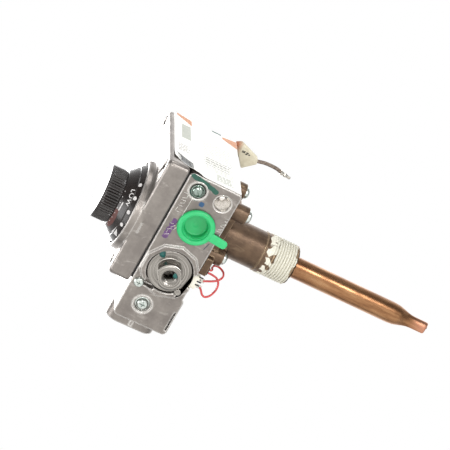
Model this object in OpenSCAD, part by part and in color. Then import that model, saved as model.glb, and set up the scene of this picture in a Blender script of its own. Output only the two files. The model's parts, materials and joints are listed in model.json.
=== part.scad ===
// Combination gas control for a storage water heater: immersion thermostat, gas cock,
// flame-failure safety valve, pressure regulator and pilot outlet in one die-cast body.
// Axes: +Y along the shank towards the tank, +Z up, +X right as seen from the front dial.
// Origin: on the shank axis, in the middle of its tank thread.

/* [Body casting] */
// Width of the main block
body_w = 85.6; // [84:0.2:92]
// Depth of the main block, front seam to rear face
body_d = 35.3; // [35:0.1:40]
// Height of the main block
body_h = 86; // [84:1:96]
// Corner radius of the block seen from below
body_r = 2.5; // [1:0.5:4]
// Length of the inlet arm beyond the block
arm_len = 22; // [20:1:28]
// Height of the inlet arm
arm_h = 55; // [48:1:60]
// Side of the square inlet boss
inlet_boss = 33; // [30:1:36]
// How far the inlet boss stands out of the arm
inlet_boss_len = 11.5; // [6:1:14]
// Radius of the tapped gas inlet wall
inlet_r = 10.2; // [9:0.1:11]

/* [Front cover] */
// Depth of the front cover
cover_d = 14.2; // [12:0.2:18]
// Wall and plate of the front cover
cover_wall = 7; // [6:0.5:8]
// Gap between cover and body, filled by the gasket
seam = 1; // [0.6:0.1:1.6]
// Outside radius of the bezel ring around the dial
bezel_r = 29.5; // [28:0.1:31]
// How far the bezel ring stands out of the cover
bezel_h = 4.6; // [3:0.1:7]

/* [Dial] */
// Radius of the dial's flat skirt edge
dial_r = 26.6; // [25:0.1:27]
// Radius of the ribbed grip
grip_r = 17.6; // [15:0.1:19]
// Length of the ribbed grip
grip_len = 10.5; // [8:0.5:14]
// Number of grip ribs
ribs = 60; // [48:2:72]
// Radius of the dial shaft
dial_shaft_r = 4; // [3:0.1:5]

/* [Shank and bulb] */
// Plain radius of the tank thread
thread_r = 13.33; // [13.33:0.01:13.34]
// Length of the tank thread
thread_len = 23; // [20:0.5:26]
// Radius of the plain shank
shank_r = 13; // [12.4:0.1:13.1]
// Radius of the copper immersion tube
tube_r = 7.15; // [6.35:0.05:7.6]
// Length of the straight part of the immersion tube beyond the thread
tube_len = 81; // [60:1:120]
// Length of the flattened tube end
crimp_len = 20; // [14:1:26]
// Radius of the expansion rod
rod_r = 2.9; // [2:0.1:3.2]

/* [Power unit] */
// Radius of the power unit's flange disc
unit_r = 14.3; // [14:0.1:14.6]
// Radius of the thermocouple nipple
nipple_r = 8.85; // [8.5:0.05:9.2]
// Width across the nipple's two flats
nipple_flats = 14.2; // [13.6:0.1:15]
// Radius of the thermocouple thread hole
nipple_hole_r = 4.1; // [3.9:0.05:4.3]
// How far the nipple stands below the disc
nipple_len = 9; // [7:0.5:11]

/* [Burner outlet] */
// Radius of the burner outlet wall
outlet_r = 8.4; // [8:0.1:8.8]
// Radius of the shipping plug's rim
plug_r = 12; // [11:0.5:13]
// Radius of the cup in the shipping plug
plug_cup_r = 7; // [6.5:0.1:7.2]

/* [Knobs] */
// Radius of the gas cock knob
cock_knob_r = 15; // [13:0.5:15.5]
// Radius of the reset button
button_r = 7.6; // [7:0.1:7.8]
// Travel of the reset button
button_travel = 5; // [4:0.5:5]

/* [Fits] */
// Running clearance of shafts and plugs in their holes
run = 0.06; // [0.03:0.01:0.09]
// Clearance between parts that pass each other
gap = 0.4; // [0.3:0.05:0.6]

/* [View] */
// Sub-part to show

/* [Hidden] */
$fn = 64;

cast = [0.58, 0.56, 0.55];
zinc = [0.72, 0.76, 0.74];
steel = [0.66, 0.66, 0.66];
bronze = [0.42, 0.34, 0.28];
copper = [0.66, 0.43, 0.30];
brass = [0.72, 0.60, 0.32];
black = [0.13, 0.12, 0.12];
rubber = [0.16, 0.16, 0.17];
green = [0.18, 0.75, 0.47];
red = [0.72, 0.24, 0.24];

// Planes of the block
port_z = -29;
top_z = port_z + body_h;
rear_y = -44.5;
front_y = rear_y - body_d;
right_x = 39.2;
left_x = right_x - body_w;
arm_x = left_x - arm_len;
boss_x = arm_x - inlet_boss_len;
mid_y = -61;
cover_y1 = front_y - seam;
cover_y0 = cover_y1 - cover_d;
cover_x0 = left_x + 1.9;
cover_x1 = right_x + 1;

// Axes of the things inside
dial_x = -8;
unit_x = -26.4;
cock_x = 0;
reg_x = 27;
valve_x = 5;
outlet_x = 7.9;
pilot_x = 29;
pilot_y = -53.3;
adjust_x = 30;
adjust_y = -70.7;
arm_screw_x = -54.5;
arm_screw_y = -65.8;
body_screw_x = -41.4;
body_screw_y = -74.9;
inlet_y = -63;
inlet_z = 1.5;

// Thermostat chamber
cham_x0 = -14;
cham_x1 = 16;
cham_z = 14;
cham_y1 = rear_y - 2.5;
lever_t = 1.6;
rod_end_y = cham_y1 - 2;
lever_y0 = rod_end_y - lever_t;
disc_y = lever_y0 - 1.4;
seat_y1 = disc_y - 3;
seat_t = 2;
seat_y0 = seat_y1 - seat_t;
bridge_t = 1.5;
bridge_y0 = front_y + 4;

// Safety valve
unit_t = 6;
unit_z0 = port_z - 0.4;
unit_z1 = unit_z0 + unit_t;
can_r = 9.6;
can_t = 0.7;
can_z1 = -2;
core_z1 = -11.5;
plate_z0 = core_z1 + 4.3;
seal_z1 = 9;
seat_hole_r = 5.5;
upper_r = 8;
upper_z1 = top_z - 13;
pin_x = unit_x - 10.4;
pin_y = mid_y + 10.8;
pin_r = 2.3;
button_z0 = top_z + button_travel - 2;
button_h = 11;
rod_tip_z = seal_z1 + 1.3;

// Terminal block of the cut-off switch
block_x0 = -31;
block_w = 9.4;
block_h = 4;

// Gas cock
plug_z0 = 30;
plug_z1 = 48;
plug_r0 = 7;
plug_r1 = 9;
stem_r = 3;
port_hole_z = 40;

// Regulator
reg_r = 10.2;
dia_z = 32;
reg_low_z = 18;
cap_z0 = top_z - 7;

// Shank
thread_y0 = -10.5;
thread_y1 = thread_y0 + thread_len;
chamfer = 1.2;
flange_t = 5.5;
gasket_t = 0.8;
flange_y0 = rear_y + gasket_t;
flange_y1 = flange_y0 + flange_t;
lug_y1 = flange_y1 + 5.5;
lug_r = 5.8;
lug_at = [[-9.5, -14.5], [23, -14.5], [23, 22], [-9.5, 22]];
shank_bore_r = 9.6;
braze_len = 14;

// Cover
cover_mid_x = (cover_x0 + cover_x1) / 2;
cover_screw_at = [[-38, 50], [34, 50], [34, -22], [-38.5, -19.5]];

// Burner outlet plug
tab_w = 5.6;
tab_end = [5.1, -37.4];
plug_top = 2.4;

// --- helpers -------------------------------------------------------------
module along_y(x, y, z) translate([x, y, z]) rotate([-90, 0, 0]) children();
module along_x(x, y, z) translate([x, y, z]) rotate([0, 90, 0]) children();
module at_z(x, y, z) translate([x, y, z]) children();

// Rectangle with round corners, centred
module round_rect(w, h, r) {
    square([w - 2 * r, h], center = true);
    square([w, h - 2 * r], center = true);
    for (sx = [-1, 1], sy = [-1, 1])
        translate([sx * (w / 2 - r), sy * (h / 2 - r)])
            circle(r);
}

// Ring standing on z = 0
module ring(ro, ri, h) {
    difference() {
        cylinder(r = ro, h = h);
        translate([0, 0, -1])
            cylinder(r = ri, h = h + 2);
    }
}

// Screw with a domed head on z = 0, head outwards (+z), slotted
module slotted_screw(head_r, head_h, body_r, body_len) {
    difference() {
        union() {
            cylinder(r = head_r, h = head_h * 0.6);
            translate([0, 0, head_h * 0.6])
                cylinder(r1 = head_r, r2 = head_r * 0.72, h = head_h * 0.4);
            translate([0, 0, -body_len])
                cylinder(r = body_r, h = body_len + 0.1);
        }
        translate([-head_r - 1, -0.5, head_h * 0.45])
            cube([2 * head_r + 2, 1, head_h]);
    }
}

// Pan-head screw with a six-lobe style hex recess
module recess_screw(head_r, head_h, body_r, body_len) {
    difference() {
        union() {
            cylinder(r = head_r, h = head_h * 0.7);
            translate([0, 0, head_h * 0.7])
                cylinder(r1 = head_r, r2 = head_r * 0.8, h = head_h * 0.3);
            translate([0, 0, -body_len])
                cylinder(r = body_r, h = body_len + 0.1);
        }
        translate([0, 0, head_h * 0.3])
            cylinder(r = head_r * 0.5, h = head_h, $fn = 6);
    }
}

// Coil spring as a stack of slanted rings joined into one helix-like tube
function helix(r, pitch, turns, n) = [
    for (i = [0 : turns * n])
        [r * cos(360 * i / n), r * sin(360 * i / n), pitch * i / n]
];
module spring(r, wire, length, turns) {
    sweep([
        for (p = helix(r, (length - wire) / turns, turns, 16))
            p + [0, 0, wire / 2]
    ], wire / 2, 6);
}

function unit(v) = v / norm(v);
function tangent(p, i) =
    i == 0 ? unit(p[1] - p[0])
    : i == len(p) - 1 ? unit(p[i] - p[i - 1])
    : unit(unit(p[i + 1] - p[i]) + unit(p[i] - p[i - 1]));

// Round tube of radius r swept along points; side is a direction the path never runs along
module sweep(points, r, sides, side = [0, 0, 1]) {
    n = len(points);
    rings = [
        for (i = [0 : n - 1])
            let (t = tangent(points, i), a = unit(cross(side, t)), b = cross(t, a))
                [for (k = [0 : sides - 1])
                    points[i] + r * (a * cos(360 * k / sides) + b * sin(360 * k / sides))]
    ];
    verts = [for (q = rings) each q];
    polyhedron(verts, concat(
        [[for (k = [sides - 1 : -1 : 0]) k]],
        [for (i = [0 : n - 2], k = [0 : sides - 1])
            each let (a = i * sides + k, b = i * sides + (k + 1) % sides)
                [[a, b, b + sides], [a, b + sides, a + sides]]],
        [[for (k = [0 : sides - 1]) (n - 1) * sides + k]]
    ));
}

// Smooth curve through hand-set points, m steps a span
function bend(p, m) = [
    for (i = [0 : len(p) - 2], j = [0 : m - 1])
        let (a = p[max(i - 1, 0)], b = p[i], c = p[i + 1], d = p[min(i + 2, len(p) - 1)], t = j / m)
            0.5 * ((2 * b) + (c - a) * t + (2 * a - 5 * b + 4 * c - d) * t * t
                + (3 * b - a - 3 * c + d) * t * t * t),
    p[len(p) - 1]
];

// --- die-cast body --------------------------------------------------------
module body_outside() {
    translate([(left_x + right_x) / 2, (front_y + rear_y) / 2, port_z])
        linear_extrude(body_h)
            round_rect(body_w, body_d, body_r);
    translate([arm_x, front_y, port_z])
        linear_extrude(arm_h)
            translate([(arm_len + 6) / 2, (body_d + 1.5) / 2])
                round_rect(arm_len + 6, body_d + 1.5, 3);
    along_x(boss_x, inlet_y, inlet_z)
        linear_extrude(inlet_boss_len + 4)
            round_rect(inlet_boss, inlet_boss, 8);
    translate([boss_x + 1.5, inlet_y - 1, inlet_z - inlet_boss / 2 - 0.6])
        cube([inlet_boss_len - 1.5, 2, 2]);
    difference() {
        at_z(unit_x, mid_y, port_z - 1.3)
            cylinder(r = unit_r + 4.2, h = 4, $fn = 10);
        at_z(body_screw_x, body_screw_y, port_z - 2)
            cylinder(r = 3.8, h = 2);
        translate([unit_x - 30, rear_y, port_z - 2])
            cube([40, 10, 6]);
    }
    at_z(adjust_x, adjust_y, port_z - 0.5)
        cylinder(r = 6, h = 2);
    at_z(arm_screw_x, arm_screw_y, port_z - 0.5)
        cylinder(r = 6.4, h = 2);
    at_z(unit_x, mid_y, top_z - 1)
        cylinder(r = button_r + 2.4, h = 6);
    at_z(cock_x, mid_y, top_z - 1)
        cylinder(r = 7, h = 2);
}

module valve_body() color(cast)
    difference() {
        body_outside();
        // collar is cut back where the body ends at its front seam
        translate([left_x, front_y - 10, port_z - 5])
            cube([body_w, 10, 10]);
        // thermostat chamber, open to the front
        translate([cham_x0, front_y - 1, -cham_z])
            cube([cham_x1 - cham_x0, cham_y1 - front_y + 1, 2 * cham_z]);
        // rod hole through the rear wall
        along_y(0, cham_y1 - 1, 0)
            cylinder(r = rod_r + 1.2, h = 5);
        // power unit seat, magnet bore, safety valve seat, upper chamber, rod guide
        at_z(unit_x, mid_y, port_z - 3)
            cylinder(r = unit_r + 0.35, h = unit_z1 - port_z + 3);
        at_z(unit_x, mid_y, unit_z1 - 1)
            cylinder(r = can_r + gap, h = seal_z1 - unit_z1 + 1);
        at_z(unit_x, mid_y, seal_z1 - 1)
            cylinder(r = seat_hole_r, h = 8);
        at_z(unit_x, mid_y, seal_z1 + 4)
            cylinder(r = upper_r, h = upper_z1 - seal_z1 - 4);
        at_z(unit_x, mid_y, upper_z1 - 1)
            cylinder(r = 2.5 + run, h = top_z - upper_z1 + 1);
        at_z(unit_x, mid_y, top_z - 3)
            cylinder(r = button_r + gap, h = 10);
        // dark clearance notches each side of the power unit
        translate([unit_x - 15.6, mid_y - 11, port_z - 3])
            cube([7, 7, 7]);
        // seat of the terminal block, open to the rear and below
        translate([block_x0, rear_y - 1.8, port_z - 3])
            cube([block_w, 6, 3.6 + block_h]);
        at_z(pin_x, pin_y, port_z - 3)
            cylinder(r = pin_r, h = 8);
        // gas inlet and its way to the safety valve
        along_x(boss_x - 1, inlet_y, inlet_z)
            cylinder(r = inlet_r, h = 18);
        along_x(boss_x + 16, inlet_y, inlet_z)
            cylinder(r = 8, h = 10);
        along_x(boss_x + 24, inlet_y, inlet_z)
            cylinder(r = 5.5, h = unit_x - boss_x - 28);
        // safety valve to cock, cock bore, cock to regulator
        along_x(unit_x + 4, mid_y, port_hole_z)
            cylinder(r = 3.2, h = cock_x - unit_x - 8);
        at_z(cock_x, mid_y, plug_z0)
            cylinder(r1 = plug_r0 + run, r2 = plug_r1 + run, h = plug_z1 - plug_z0);
        at_z(cock_x, mid_y, plug_z1 - 0.01)
            cylinder(r = plug_r1 + run, h = 5);
        at_z(cock_x, mid_y, plug_z1 + 4)
            cylinder(r = stem_r + run, h = 10);
        at_z(cock_x, mid_y, 25)
            cylinder(r = 4, h = 6);
        along_x(cock_x, mid_y, 28)
            cylinder(r = 3, h = reg_x - cock_x - 5);
        // regulator
        at_z(reg_x, mid_y, dia_z)
            cylinder(r = reg_r, h = top_z);
        at_z(reg_x, mid_y, reg_low_z)
            cylinder(r = reg_r - 1.7, h = 20);
        at_z(reg_x, -56, 7)
            cylinder(r = 3, h = 14);
        along_x(cham_x1 - 1, -53, 9)
            cylinder(r = 3, h = reg_x - cham_x1 + 1);
        // burner outlet
        at_z(outlet_x, mid_y + 0.5, port_z - 1)
            cylinder(r = outlet_r, h = 12.5);
        at_z(outlet_x, mid_y - 5, port_z + 10)
            cylinder(r = 3.4, h = 6);
        // pilot outlet with its cone seat
        at_z(pilot_x, pilot_y, port_z - 1)
            cylinder(r = 5.2, h = 8);
        at_z(pilot_x, pilot_y, port_z + 6.99)
            cylinder(r1 = 5.2, r2 = 1.8, h = 4);
        at_z(pilot_x, pilot_y, port_z + 10.9)
            cylinder(r = 1.8, h = 30);
        // pilot adjustment
        at_z(adjust_x, adjust_y, port_z - 1)
            cylinder(r = 5, h = 2.6);
        at_z(adjust_x, adjust_y, port_z + 1)
            cylinder(r = 2.2 + run, h = 13);
        along_y(adjust_x - 0.4, adjust_y, port_z + 12.6)
            cylinder(r = 1.2, h = 16);
        // screw on the arm, screw beside the power unit
        at_z(arm_screw_x, arm_screw_y, port_z - 1)
            cylinder(r = 5, h = 2.4);
        at_z(arm_screw_x, arm_screw_y, port_z + 1)
            cylinder(r = 2, h = 9);
        at_z(body_screw_x, body_screw_y, port_z - 1)
            cylinder(r = 1.6, h = 7);
        // cover screw holes
        for (p = cover_screw_at)
            along_y(p[0], front_y - 1, p[1])
                cylinder(r = 1.6, h = 11);
        // flange screw holes
        for (p = lug_at)
            along_y(p[0], rear_y - 4, p[1])
                cylinder(r = 1.8, h = 6);
        // shallow slot along the arm's rear edge
        translate([arm_x + 3.5, rear_y - 0.4, port_z - 1])
            cube([14, 0.9, 4]);
    }

// --- front cover, gasket, screws -----------------------------------------
module front_cover() color(cast)
    difference() {
        union() {
            along_y(cover_mid_x, cover_y0, (port_z + top_z) / 2)
                linear_extrude(cover_d)
                    round_rect(cover_x1 - cover_x0, body_h, 3);
            along_y(dial_x, cover_y0 - bezel_h, 0)
                cylinder(r = bezel_r, h = bezel_h + 6);
        }
        along_y(cover_mid_x, cover_y0 + cover_wall, (port_z + top_z) / 2)
            linear_extrude(cover_d)
                round_rect(cover_x1 - cover_x0 - 2 * cover_wall, body_h - 2 * cover_wall, 3);
        along_y(dial_x, cover_y0 - bezel_h - 1, 0)
            cylinder(r = bezel_r - 2, h = bezel_h + 3);
        along_y(dial_x, cover_y0, 0)
            cylinder(r = dial_shaft_r + run, h = cover_d + 2);
        for (p = cover_screw_at)
            along_y(p[0], cover_y0 - 1, p[1]) {
                cylinder(r = 3.6, h = 2.6);
                cylinder(r = 2.1, h = cover_d + 2);
            }
    }

module cover_gasket() color(rubber)
    difference() {
        along_y(cover_mid_x, cover_y1, (port_z + top_z) / 2)
            linear_extrude(seam)
                round_rect(body_w - 6, body_h - 3, 3);
        along_y(cover_mid_x, cover_y1 - 1, (port_z + top_z) / 2)
            linear_extrude(seam + 2)
                round_rect(body_w - 20, body_h - 17, 3);
        for (p = cover_screw_at)
            along_y(p[0], cover_y1 - 1, p[1])
                cylinder(r = 2.1, h = seam + 2);
    }

module cover_screws() color(zinc)
    for (p = cover_screw_at)
        translate([p[0], cover_y0 + 1.6, p[1]])
            rotate([90, 0, 0])
                recess_screw(3.4, 2, 1.6, cover_d + 6);

// --- temperature dial --------------------------------------------------------
skirt_y1 = cover_y0 - bezel_h + 1;
skirt_edge = 1.6;
skirt_y0 = skirt_y1 - 9.4;
grip_y0 = skirt_y0 - grip_len;
module temperature_dial() color(black)
    difference() {
        union() {
            along_y(dial_x, skirt_y1 - skirt_edge, 0)
                cylinder(r = dial_r, h = skirt_edge);
            along_y(dial_x, skirt_y0, 0)
                cylinder(r1 = grip_r + 0.6, r2 = dial_r, h = skirt_y1 - skirt_edge - skirt_y0);
            along_y(dial_x, grip_y0, 0)
                cylinder(r1 = grip_r - 0.9, r2 = grip_r - 0.4, h = grip_len + 1);
            for (i = [0 : ribs - 1])
                along_y(dial_x, grip_y0 + 0.5, 0)
                    rotate([0, 0, 360 * i / ribs])
                        translate([grip_r - 1.2, -0.45, 0])
                            cube([1.2, 0.9, grip_len]);
        }
        along_y(dial_x, grip_y0 + 3, 0)
            difference() {
                cylinder(r = dial_shaft_r + run, h = 30);
                translate([-6, dial_shaft_r - 1.2 + run, -1])
                    cube([12, 6, 40]);
            }
        along_y(dial_x, grip_y0 + 6, 0)
            ring(grip_r - 3.4, dial_shaft_r + 3, 40);
        along_y(dial_x, skirt_y1 - 5, 0)
            ring(dial_r - 2, dial_shaft_r + 3, 20);
    }

module dial_shaft() color(brass)
    difference() {
        union() {
            along_y(dial_x, grip_y0 + 4, 0)
                cylinder(r = dial_shaft_r, h = cover_y1 + 2 - grip_y0 - 4);
            along_y(dial_x, cover_y1 + 2, 0)
                cylinder(r = 2.6, h = lever_y0 - gap - cover_y1 - 2);
            along_y(dial_x, cover_y0 + cover_wall + gap, 0)
                cylinder(r = 6.5, h = 1.4);
        }
        translate([dial_x - 6, grip_y0 + 3, -dial_shaft_r - 6 + 1.2])
            cube([12, skirt_y1 - grip_y0 - 3, 6]);
    }

module dial_clip() color(steel)
    difference() {
        along_y(dial_x, skirt_y1 - 4.4, 0)
            ring(dial_shaft_r + 3.9, dial_shaft_r + 3, 2);
        translate([dial_x - 1.5, skirt_y1 - 6, 0])
            cube([3, 6, 12]);
    }

module dial_spring() color(steel)
    along_y(dial_x, skirt_y1 + 0.15, 0)
        spring(5.6, 0.9, cover_y0 + 2 - skirt_y1 - 0.15, 3);

// --- shank, flange and immersion tube ----------------------------------------
module mounting_shank() color(bronze)
    difference() {
        union() {
            translate([6.75, flange_y0, 3.75])
                rotate([-90, 0, 0])
                    linear_extrude(flange_t)
                        round_rect(42, 44, lug_r);
            for (p = lug_at)
                along_y(p[0], flange_y0, p[1])
                    cylinder(r = lug_r, h = lug_y1 - flange_y0);
            along_y(0, flange_y0, 0)
                cylinder(r = shank_r, h = thread_y1 - flange_y0 - chamfer);
            along_y(0, thread_y0, 0)
                cylinder(r = thread_r, h = thread_len - chamfer);
            along_y(0, thread_y1 - chamfer, 0)
                cylinder(r1 = thread_r, r2 = thread_r - chamfer, h = chamfer);
            // boss for the wire grommet
            translate([-21.2, flange_y0, -25.5])
                cube([12.2, 4.8, 11]);
        }
        along_y(0, flange_y0 - 1, 0)
            cylinder(r = shank_bore_r, h = thread_y1 - braze_len - flange_y0 + 1);
        along_y(0, 0, 0)
            translate([0, 0, thread_y1 - braze_len - 1])
                cylinder(r = tube_r, h = braze_len + 3);
        for (p = lug_at)
            along_y(p[0], flange_y0 - 1, p[1])
                cylinder(r = 2.3, h = lug_y1 - flange_y0 + 2);
        translate([-20.4, flange_y0 - 1, -24])
            cube([5, 8, 3]);
    }

module shank_gasket() color(rubber)
    difference() {
        translate([6.75, rear_y, 3.75])
            rotate([-90, 0, 0])
                linear_extrude(gasket_t)
                    round_rect(41, 43, lug_r);
        along_y(0, rear_y - 1, 0)
            cylinder(r = shank_bore_r, h = 3);
        for (p = lug_at)
            along_y(p[0], rear_y - 1, p[1])
                cylinder(r = 2.3, h = 3);
    }

module flange_screws() color(zinc)
    for (p = lug_at)
        along_y(p[0], lug_y1, p[1])
            recess_screw(4.2, 2.8, 1.8, lug_y1 - rear_y + 3.5);

module immersion_tube() color(copper)
    difference() {
        union() {
            along_y(0, thread_y1 - braze_len, 0)
                cylinder(r = tube_r, h = braze_len + tube_len);
            hull() {
                along_y(0, thread_y1 + tube_len - 0.5, 0)
                    cylinder(r = tube_r, h = 0.5, $fn = 48);
                translate([0, thread_y1 + tube_len + crimp_len - 6, 0])
                    cube([9.5, 0.5, 4.6], center = true);
                translate([0, thread_y1 + tube_len + crimp_len - 1, 0])
                    cube([7, 1, 3.4], center = true);
            }
        }
        along_y(0, thread_y1 - braze_len - 1, 0)
            cylinder(r = tube_r - 1, h = braze_len + tube_len - 4);
    }

module expansion_rod() color(steel)
    along_y(0, rod_end_y, 0)
        cylinder(r = rod_r, h = thread_y1 + tube_len - 5 - rod_end_y);

// --- thermostat works inside the chamber ----------------------------------------
module thermostat_lever() color(steel)
    translate([-12, lever_y0, -4])
        cube([24, lever_t, 8]);

module snap_disc() color(steel)
    along_y(valve_x, disc_y, 0)
        cylinder(r = 8.4, h = 0.4);

module snap_disc_ring() color(brass)
    along_y(valve_x, seat_y1, 0)
        ring(8.9, 7.6, disc_y - seat_y1);

module main_valve_seat() color(brass)
    difference() {
        translate([cham_x0, seat_y0, -cham_z])
            cube([cham_x1 - cham_x0, seat_t, 2 * cham_z]);
        along_y(valve_x, seat_y0 - 1, 0)
            cylinder(r = 4.5, h = seat_t + 2);
        along_y(dial_x, seat_y0 - 1, 0)
            cylinder(r = 2.6 + gap, h = seat_t + 2);
    }

module main_valve() color(rubber)
    union() {
        along_y(valve_x, seat_y0 - 2.2, 0)
            cylinder(r = 7, h = 2.2);
        along_y(valve_x, seat_y0 - 0.1, 0)
            cylinder(r = 1.2, h = disc_y - gap - seat_y0 + 0.1);
    }

module spring_bridge() color(steel)
    difference() {
        translate([cham_x0, bridge_y0, -6])
            cube([cham_x1 - cham_x0, bridge_t, 12]);
        along_y(dial_x, bridge_y0 - 1, 0)
            cylinder(r = 2.6 + gap, h = bridge_t + 2);
    }

module main_valve_spring() color(steel)
    along_y(valve_x, bridge_y0 + bridge_t, 0)
        spring(4, 0.7, seat_y0 - 2.2 - bridge_y0 - bridge_t, 6);

// --- flame-failure safety valve ------------------------------------------------
module power_unit_housing() color(zinc)
    at_z(unit_x, mid_y, 0)
        difference() {
            union() {
                translate([0, 0, unit_z0])
                    cylinder(r = unit_r, h = unit_t);
                intersection() {
                    translate([0, 0, unit_z0 - nipple_len])
                        cylinder(r = nipple_r, h = nipple_len + 1);
                    rotate([0, 0, 62])
                        translate([-nipple_flats / 2, -20, unit_z0 - nipple_len - 1])
                            cube([nipple_flats, 40, nipple_len + 3]);
                }
                translate([0, 0, unit_z1 - 0.1])
                    cylinder(r = can_r, h = can_z1 - unit_z1 + 0.1);
            }
            translate([0, 0, unit_z0 - nipple_len - 1])
                cylinder(r = nipple_hole_r, h = 12);
            translate([0, 0, unit_z0 - nipple_len - 0.01])
                cylinder(r1 = nipple_hole_r + 1, r2 = nipple_hole_r, h = 1);
            translate([0, 0, unit_z1])
                cylinder(r = can_r - can_t, h = can_z1 - can_t - unit_z1);
            translate([0, 0, can_z1 - 3])
                cylinder(r = 1.5 + run, h = 5);
            translate([pin_x - unit_x, pin_y - mid_y, unit_z0 - 1])
                cylinder(r = pin_r + 0.1, h = unit_t + 2);
        }

module unit_pin() color(zinc)
    at_z(pin_x, pin_y, port_z - 1.6)
        cylinder(r = pin_r, h = 6.6);

module magnet_core() color(steel)
    at_z(unit_x, mid_y, unit_z1) {
        cylinder(r = can_r - can_t - gap, h = 2);
        for (s = [-1, 1])
            translate([s * 4.5 - 1.75, -3, 1.9])
                cube([3.5, 6, core_z1 - unit_z1 - 1.9]);
    }

module magnet_coil() color(copper)
    at_z(unit_x, mid_y, unit_z1 + 3)
        difference() {
            translate([1.6, -4.5, 0])
                cube([6, 9, 5]);
            translate([2.75, -3, -1])
                cube([3.5, 6, 8]);
        }

module safety_valve() color(rubber)
    at_z(unit_x, mid_y, 0) {
        translate([0, 0, plate_z0])
            cylinder(r = 7.5, h = 1.6);
        translate([0, 0, plate_z0 + 1.5])
            cylinder(r = 1.5, h = seal_z1 - 2 - plate_z0);
        translate([0, 0, seal_z1 - 2.4])
            cylinder(r = 7.8, h = 2.4);
    }

module safety_valve_spring() color(steel)
    at_z(unit_x, mid_y, can_z1)
        spring(5, 0.8, seal_z1 - 2.4 - can_z1, 3);

module reset_rod() color(steel)
    at_z(unit_x, mid_y, rod_tip_z)
        cylinder(r = 2.5, h = button_z0 + 5 - rod_tip_z);

module reset_button() color(red)
    at_z(unit_x, mid_y, button_z0)
        difference() {
            union() {
                cylinder(r = button_r, h = button_h - 1.2);
                translate([0, 0, button_h - 1.2])
                    cylinder(r1 = button_r, r2 = button_r - 1.2, h = 1.2);
            }
            translate([0, 0, -1])
                cylinder(r = 2.5, h = 6);
        }

module reset_spring() color(steel)
    at_z(unit_x, mid_y, top_z - 3)
        spring(5, 0.8, button_z0 - top_z + 3, 3);

// --- gas cock ------------------------------------------------------------------
module cock_plug() color(brass)
    at_z(cock_x, mid_y, 0)
        difference() {
            union() {
                translate([0, 0, plug_z0])
                    cylinder(r1 = plug_r0, r2 = plug_r1, h = plug_z1 - plug_z0);
                translate([0, 0, plug_z1 - 0.1])
                    cylinder(r = stem_r, h = top_z + 12 - plug_z1);
            }
            translate([0, 0, plug_z0 - 1])
                cylinder(r = 3, h = port_hole_z - plug_z0 + 1);
            translate([0, 0, port_hole_z])
                rotate([0, 90, 0])
                    cylinder(r = 3, h = 12);
            translate([-5, stem_r - 1, top_z + 3])
                cube([10, 4, 12]);
        }

module cock_spring() color(steel)
    at_z(cock_x, mid_y, plug_z1)
        spring(5.5, 0.9, 4, 2);

module gas_knob() color(black)
    at_z(cock_x, mid_y, top_z + 1.6)
        difference() {
            union() {
                cylinder(r = cock_knob_r, h = 3);
                translate([0, 0, 2.9])
                    cylinder(r1 = cock_knob_r, r2 = cock_knob_r - 2.5, h = 3);
                translate([-3.5, -cock_knob_r + 1.5, 2.9])
                    cube([7, 2 * cock_knob_r - 3, 12]);
            }
            translate([0, 0, -1])
                difference() {
                    cylinder(r = stem_r + run, h = 12);
                    translate([-5, stem_r - 1 + run, 0])
                        cube([10, 4, 20]);
                }
            translate([0, 0, -1])
                cylinder(r = 8, h = 2.4);
        }

module knob_clip() color(steel)
    at_z(cock_x, mid_y, top_z + 1.6)
        difference() {
            ring(7.4, 6.4, 1.2);
            translate([-1.5, 0, -1])
                cube([3, 10, 4]);
        }

// --- pressure regulator ------------------------------------------------------------
module regulator_seat() color(brass)
    at_z(reg_x, mid_y, 23)
        ring(reg_r - 1.7, 3.5, 2);

module regulator_valve() color(brass)
    at_z(reg_x, mid_y, 0) {
        translate([0, 0, 19.4])
            cylinder(r = 5, h = 2.2);
        translate([0, 0, 21.5])
            cylinder(r = 1.2, h = dia_z - 21.5);
    }

module regulator_diaphragm() color(rubber)
    at_z(reg_x, mid_y, dia_z)
        union() {
            cylinder(r = reg_r, h = 0.8);
            translate([0, 0, 0.7])
                cylinder(r = 5.8, h = 1.1);
        }

module regulator_ring() color(cast)
    at_z(reg_x, mid_y, dia_z + 0.8)
        ring(reg_r, 8.2, cap_z0 - dia_z - 0.8);

module regulator_spring() color(steel)
    at_z(reg_x, mid_y, dia_z + 1.8)
        spring(4.8, 0.9, cap_z0 - dia_z - 1.8, 5);

module regulator_cap() color(zinc)
    at_z(reg_x, mid_y, cap_z0)
        difference() {
            union() {
                cylinder(r = reg_r, h = top_z - cap_z0 + 1);
                translate([0, 0, top_z - cap_z0])
                    cylinder(r1 = 11, r2 = 10, h = 3);
            }
            translate([-12, -0.9, top_z - cap_z0 + 1.4])
                cube([24, 1.8, 4]);
        }

// --- pilot line ---------------------------------------------------------------------
module pilot_adjust_screw() color(zinc)
    translate([adjust_x, adjust_y, port_z + 1.6])
        rotate([180, 0, -22])
            slotted_screw(3.9, 3.2, 2.2, 9);

module pilot_filter() color(brass)
    at_z(pilot_x, pilot_y, port_z + 14)
        ring(1.8, 0.9, 6);

module inlet_screen() color(steel)
    along_x(boss_x + 17.4, inlet_y, inlet_z)
        difference() {
            cylinder(r = 8, h = 0.6);
            for (a = [0 : 60 : 300], q = [3.2, 6.4])
                rotate([0, 0, a + q * 8])
                    translate([q, 0, -1])
                        cylinder(r = 1.1, h = 3);
            translate([0, 0, -1])
                cylinder(r = 1.1, h = 3);
        }

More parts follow.
